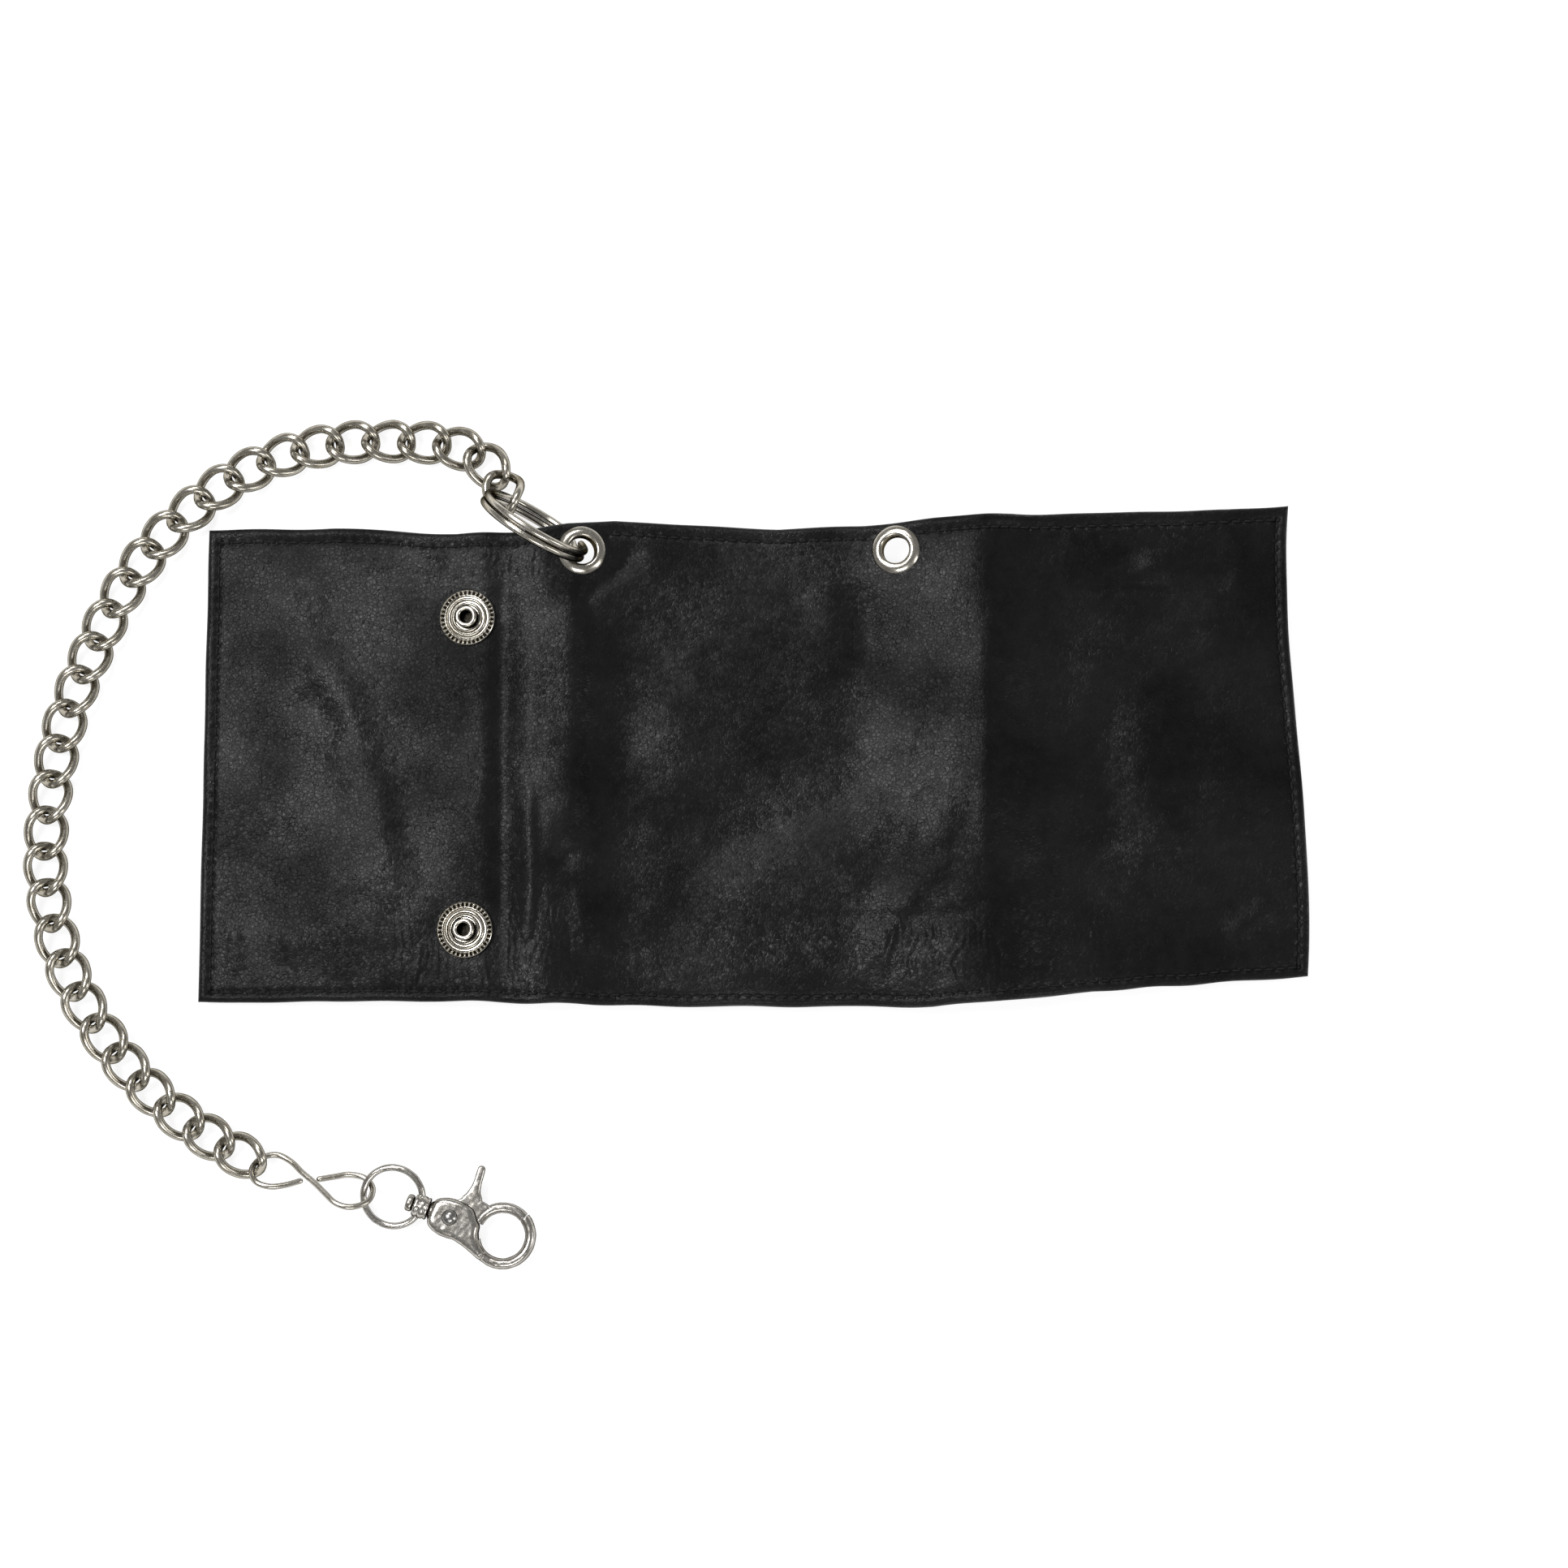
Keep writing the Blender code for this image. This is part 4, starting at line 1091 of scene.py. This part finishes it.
def build_bow(look):
    centre = hook_point(BOW_X, 0)
    side = hook_point(0, math.cos(BOW_TILT), math.sin(BOW_TILT)) - hook_point(0, 0)
    angles = [2 * math.pi * i / BOW_STEPS for i in range(BOW_STEPS)]
    ups = [math.cos(a) * HOOK_AXIS + math.sin(a) * side for a in angles]
    parts = [
        tube_parts([centre + BOW_R * out for out in ups], BOW_WIRE, sides=14, closed=True, ups=ups),
        lathe_parts(COLLAR, hook_point(0, 0), HOOK_AXIS, 40),
    ]
    bore = lathe_parts([(0, -9.5), (1.2, -9.5), (1.2, -4), (0, -4)], hook_point(0, 0), HOOK_AXIS, 24)
    stand_in(cast("cast_bow", parts, look, 0.13, 2, [bore]), "nickel", "bow", "swivel_bow")


def build_rivet(look):
    outline = RIVET_UNDER + RIVET_TOP[::-1]
    made = solid("rivet_pin", lathe_parts(outline, hook_point(0, 0), (0, 0, 1), 40), look, 60)
    stand_in(made, "steel", "hook", "hook_rivet")


# ---- materials ----
class Look:
    """A node material with short ways to add and link nodes."""

    def __init__(self, name):
        self.material = bpy.data.materials.new(name)
        self.material.use_nodes = True
        self.tree = self.material.node_tree
        self.shader = self.tree.nodes["Principled BSDF"]

    def node(self, kind, inputs=None, **settings):
        made = self.tree.nodes.new("ShaderNode" + kind)
        for key, value in settings.items():
            setattr(made, key, value)
        for key, value in (inputs or {}).items():
            self.set(made.inputs[key], value)
        return made

    def set(self, socket, value):
        if isinstance(value, bpy.types.NodeSocket):
            self.tree.links.new(value, socket)
        else:
            socket.default_value = value

    def finish(self, **inputs):
        for key, value in inputs.items():
            self.set(self.shader.inputs[key.replace("_", " ")], value)
        return self.material

    def maths(self, operation, a, b=0.0, c=0.0):
        made = self.node("Math", operation=operation)
        for k, value in enumerate((a, b, c)):
            self.set(made.inputs[k], value)
        return made.outputs[0]

    def vector(self, operation, a, b, c=(0.0, 0.0, 0.0)):
        made = self.node("VectorMath", operation=operation)
        for k, value in enumerate((a, b, c)):
            self.set(made.inputs[k], value)
        return made.outputs[0]

    def ramp(self, value, low, high, out_low=0.0, out_high=1.0):
        made = self.node("MapRange", {0: value, 1: low, 2: high, 3: out_low, 4: out_high})
        return made.outputs[0]

    def mix(self, share, a, b):
        made = self.node("Mix", data_type="RGBA")
        for key, value in ((0, share), (6, a), (7, b)):
            self.set(made.inputs[key], value)
        return made.outputs[2]

    def flat(self):
        """Millimetres on the flat sheet, from its own map, so that the grain stays put when it bends."""
        source = self.node("UVMap", uv_map="Flat")
        return self.node("Mapping", {"Vector": source.outputs[0], "Scale": (240, 240, 240)}).outputs[0]

    def space(self):
        """Millimetres in the object's own space."""
        source = self.node("TexCoord")
        inputs = {"Vector": source.outputs["Object"], "Scale": (1000, 1000, 1000)}
        return self.node("Mapping", inputs).outputs[0]

    def noise(self, where, scale, detail=2.0, rough=0.5):
        made = self.node("TexNoise", {"Vector": where, "Scale": scale, "Detail": detail, "Roughness": rough})
        return made.outputs["Fac"]

    def bump(self, rise, distance, strength=1.0, normal=None):
        made = self.node("Bump", {"Height": rise, "Distance": distance * MM, "Strength": strength})
        if normal is not None:
            self.set(made.inputs["Normal"], normal)
        return made.outputs[0]


def leather_look(name, dark=(0.0088, 0.0088, 0.0094), shine=1.0):
    """Pebbled leather: each pebble leans its own way, with narrow creases between them, and the creases are
    painted darker as shade. Heights are in mm.
    """
    look = Look(name)
    where = look.flat()
    wander = look.node("TexNoise", {"Vector": where, "Scale": 0.55, "Detail": 2.0})
    bent = look.vector("MULTIPLY_ADD", wander.outputs["Color"], (0.9, 0.9, 0.0), where)
    scale = {"Vector": bent, "Scale": 1.3, "Randomness": 0.9}
    cells = look.node("TexVoronoi", scale, feature="F1")
    creases = look.node("TexVoronoi", scale, feature="DISTANCE_TO_EDGE")
    top = look.ramp(creases.outputs["Distance"], 0.0, 0.22)
    lean = look.vector("MULTIPLY_ADD", cells.outputs["Color"], (2.0, 2.0, 0.0), (-1.0, -1.0, 0.0))
    away = look.vector("SUBTRACT", bent, cells.outputs["Position"])
    tilt = look.node("VectorMath", operation="DOT_PRODUCT")
    look.set(tilt.inputs[0], lean)
    look.set(tilt.inputs[1], away)
    small = look.node("TexVoronoi", {"Vector": bent, "Scale": 2.6}, feature="SMOOTH_F1")
    rise = look.maths("MULTIPLY_ADD", tilt.outputs["Value"], 0.10, look.maths("MULTIPLY", top, 0.026))
    rise = look.maths("MULTIPLY_ADD", small.outputs["Distance"], -0.04, rise)
    rise = look.maths("MULTIPLY_ADD", look.noise(where, 4.5, 3.0, 0.6), 0.03, rise)
    worn = look.noise(where, 0.07, 3.0, 0.55)
    normal = look.bump(rise, 1.0, look.ramp(worn, 0.35, 0.65, 0.7, 1.0))
    rough = look.maths("MULTIPLY_ADD", top, -0.12, look.ramp(worn, 0.3, 0.7, 0.46, 0.38))
    # Painted shade: the creases between the pebbles get a colour 0.6 times as dark.
    colour = look.mix(top, (*[c * 0.6 for c in dark], 1), (*dark, 1))
    lighter = look.ramp(look.noise(where, 0.3, 2.0), 0.35, 0.7, 0.0, 0.5)
    colour = look.mix(lighter, colour, (*[c * 1.4 for c in dark], 1))
    patches = look.ramp(look.noise(where, 0.045, 2.0, 0.5), 0.36, 0.62, 0.09 * shine, 0.27 * shine)
    return look.finish(Base_Color=colour, Roughness=rough, Normal=normal, Specular_IOR_Level=patches)


def suede_look(name):
    look = Look(name)
    where = look.flat()
    fibre = look.noise(where, 3.5, 4.0, 0.7)
    colour = look.mix(look.noise(where, 0.5, 3.0), (0.014, 0.014, 0.015, 1), (0.03, 0.03, 0.031, 1))
    normal = look.bump(fibre, 0.12)
    return look.finish(Base_Color=colour, Roughness=0.92, Normal=normal, Specular_IOR_Level=0.2)


def weave_look(name):
    look = Look(name)
    where = look.flat()
    split = look.node("SeparateXYZ", {"Vector": where})
    warp = look.maths("SINE", look.maths("MULTIPLY", split.outputs[0], 2 * math.pi / 0.55))
    weft = look.maths("SINE", look.maths("MULTIPLY", split.outputs[1], 2 * math.pi / 0.55))
    rise = look.maths("MULTIPLY", warp, weft)
    slub = look.noise(where, 1.4, 3.0)
    colour = look.mix(slub, (0.010, 0.010, 0.011, 1), (0.026, 0.026, 0.028, 1))
    normal = look.bump(look.maths("MULTIPLY_ADD", slub, 0.6, look.maths("MULTIPLY", rise, 0.5)), 0.06)
    return look.finish(Base_Color=colour, Roughness=0.8, Normal=normal, Sheen_Weight=0.25, Sheen_Roughness=0.5)


def thread_look(name):
    look = Look(name)
    where = look.space()
    inputs = {"Vector": where, "Scale": 1.1, "Distortion": 1.0}
    twist = look.node("TexWave", inputs, bands_direction="DIAGONAL")
    colour = look.mix(twist.outputs["Fac"], (0.004, 0.004, 0.0045, 1), (0.013, 0.013, 0.014, 1))
    normal = look.bump(twist.outputs["Fac"], 0.05)
    return look.finish(Base_Color=colour, Roughness=0.62, Normal=normal, Specular_IOR_Level=0.35)


def metal_look(name, colour, dark, rough, dents=0.0):
    """Plated metal: faint cloudy tarnish, fine wear in its shine, and the dents of a casting if it has any.
    Faces that turn sideways or down get a much darker colour, which is painted shade.
    """
    look = Look(name)
    where = look.space()
    cloud = look.noise(where, 0.35, 3.0, 0.6)
    shade = look.mix(look.ramp(cloud, 0.42, 0.72), (*colour, 1), (*dark, 1))
    # Painted shade: the colour falls to about a quarter of the dark tone where the object's normal turns
    # sideways or down.
    split = look.node("SeparateXYZ", {"Vector": look.node("TexCoord").outputs["Normal"]})
    under = look.ramp(split.outputs[2], 0.1, 0.8, 0.0, 1.0)
    shade = look.mix(under, (*[0.26 * c for c in dark], 1), shade)
    wear = look.noise(where, 2.6, 4.0, 0.65)
    shine = look.ramp(wear, 0.3, 0.75, rough * 0.7, rough * 1.45)
    normal = look.bump(look.noise(where, 1.1, 2.0), 0.018, 0.5)
    if dents:
        pits = look.node("TexVoronoi", {"Vector": where, "Scale": 0.9}, feature="SMOOTH_F1")
        normal = look.bump(pits.outputs["Distance"], dents, 0.7, normal)
    rim = (0.13, 0.12, 0.10, 1)
    return look.finish(Base_Color=shade, Metallic=1.0, Roughness=shine, Normal=normal, Specular_Tint=rim)


def clear_look(name):
    look = Look(name)
    haze = look.noise(look.flat(), 0.6, 3.0)
    rough = look.ramp(haze, 0.3, 0.7, 0.08, 0.25)
    colour = look.mix(haze, (0.10, 0.105, 0.11, 1), (0.16, 0.165, 0.17, 1))
    return look.finish(Base_Color=colour, Roughness=rough, IOR=1.45, Alpha=0.28)


# ---- floor, light and camera ----
def build_studio():
    mesh = bpy.data.meshes.new("table_top")
    reach = 4.0
    corners = [(-reach, -reach), (reach, -reach), (reach, reach), (-reach, reach)]
    mesh.from_pydata([(x, y, -0.00005) for x, y in corners], [], [(0, 1, 2, 3)])
    table = add("table_top", mesh)
    look = Look("white_table")
    grain = look.noise(look.space(), 0.004, 2.0)
    colour = look.mix(grain, (0.33, 0.33, 0.33, 1), (0.35, 0.35, 0.35, 1))
    mesh.materials.append(look.finish(
        Base_Color=colour, Roughness=0.95, Emission_Color=(1, 1, 1, 1), Emission_Strength=0.86,
        Specular_IOR_Level=0.0,
    ))

    world = bpy.data.worlds.new("studio")
    bpy.context.scene.world = world
    world.use_nodes = True
    tree = world.node_tree
    backdrop = tree.nodes["Background"]
    where = tree.nodes.new("ShaderNodeTexCoord")
    split = tree.nodes.new("ShaderNodeSeparateXYZ")
    blend = tree.nodes.new("ShaderNodeValToRGB")
    tree.links.new(where.outputs["Generated"], split.inputs[0])
    tree.links.new(split.outputs[2], blend.inputs[0])
    for element, (height_now, shade) in zip(blend.color_ramp.elements, ((0.0, 0.3), (0.85, 0.19))):
        element.position, element.color = height_now, (shade, shade, shade, 1)
    blend.color_ramp.elements.new(0.45).color = (0.16, 0.16, 0.16, 1)
    tree.links.new(blend.outputs[0], backdrop.inputs[0])

    aim = Vector((0.0, 0.0, 0.0))
    for name, at, size, power in (
        ("key", (-0.46, 0.15, 0.90), (0.28, 0.38), 4.4), ("fill", (0.80, -0.30, 0.45), (0.25, 0.5), 1.3),
        ("back", (-0.10, 0.64, 0.70), (0.45, 0.25), 2.2), ("front", (0.05, -0.66, 0.62), (0.45, 0.22), 1.5),
    ):
        data = bpy.data.lights.new(name, "AREA")
        data.shape, data.size, data.size_y, data.energy = "RECTANGLE", size[0], size[1], power
        lamp = add(name, data)
        lamp.location = at
        lamp.rotation_euler = (aim - Vector(at)).to_track_quat("-Z", "Y").to_euler()


def build_camera():
    """Looks down on the open wallet from just in front of it."""
    data = bpy.data.cameras.new("camera")
    data.sensor_width = 36.0
    data.lens = 74.5
    camera = add("camera", data)
    target, tilt, far = Vector((0.0243, 0.0117, 0.0)), math.radians(84.0), 0.70
    back = Vector((0.0, -math.cos(tilt), math.sin(tilt)))
    camera.location = target + back * far
    roll = Quaternion((0, 0, 1), math.radians(-0.36))
    camera.rotation_euler = ((-back).to_track_quat("-Z", "Y") @ roll).to_euler()
    bpy.context.scene.camera = camera
    bpy.context.scene.view_settings.view_transform = "Standard"


def main():
    build_camera()
    build_studio()
    outside, flesh = leather_look("black_leather"), suede_look("flesh_side")
    pocket_leather = leather_look("pocket_leather", (0.014, 0.014, 0.015), 0.8)
    bright = metal_look("bright_nickel", (0.76, 0.72, 0.64), (0.54, 0.50, 0.42), 0.22)
    chain = metal_look("chain_nickel", (0.70, 0.66, 0.57), (0.46, 0.42, 0.34), 0.26)
    cast_metal = metal_look("cast_nickel", (0.72, 0.69, 0.64), (0.50, 0.47, 0.42), 0.25, 0.035)
    steel = metal_look("plain_steel", (0.48, 0.47, 0.45), (0.36, 0.35, 0.33), 0.25)
    build_leather([outside, flesh])
    build_lining(weave_look("black_weave"))
    build_pockets(pocket_leather, clear_look("clear_plastic"))
    build_thread(thread_look("black_thread"))
    build_eyelets(bright)
    # The near-black metal on the studs' holes and bead grooves is painted shade.
    build_snaps(bright, metal_look("painted_recess_shade", (0.05, 0.045, 0.035), (0.02, 0.018, 0.015), 0.5))
    build_key_ring(bright)
    build_chain(chain)
    build_s_hook(bright)
    build_hook_body(cast_metal)
    build_trigger(cast_metal)
    build_bow(cast_metal)
    build_rivet(steel)
    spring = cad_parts["hook_spring"]
    spring.data.materials.clear()
    spring.data.materials.append(steel)


main()
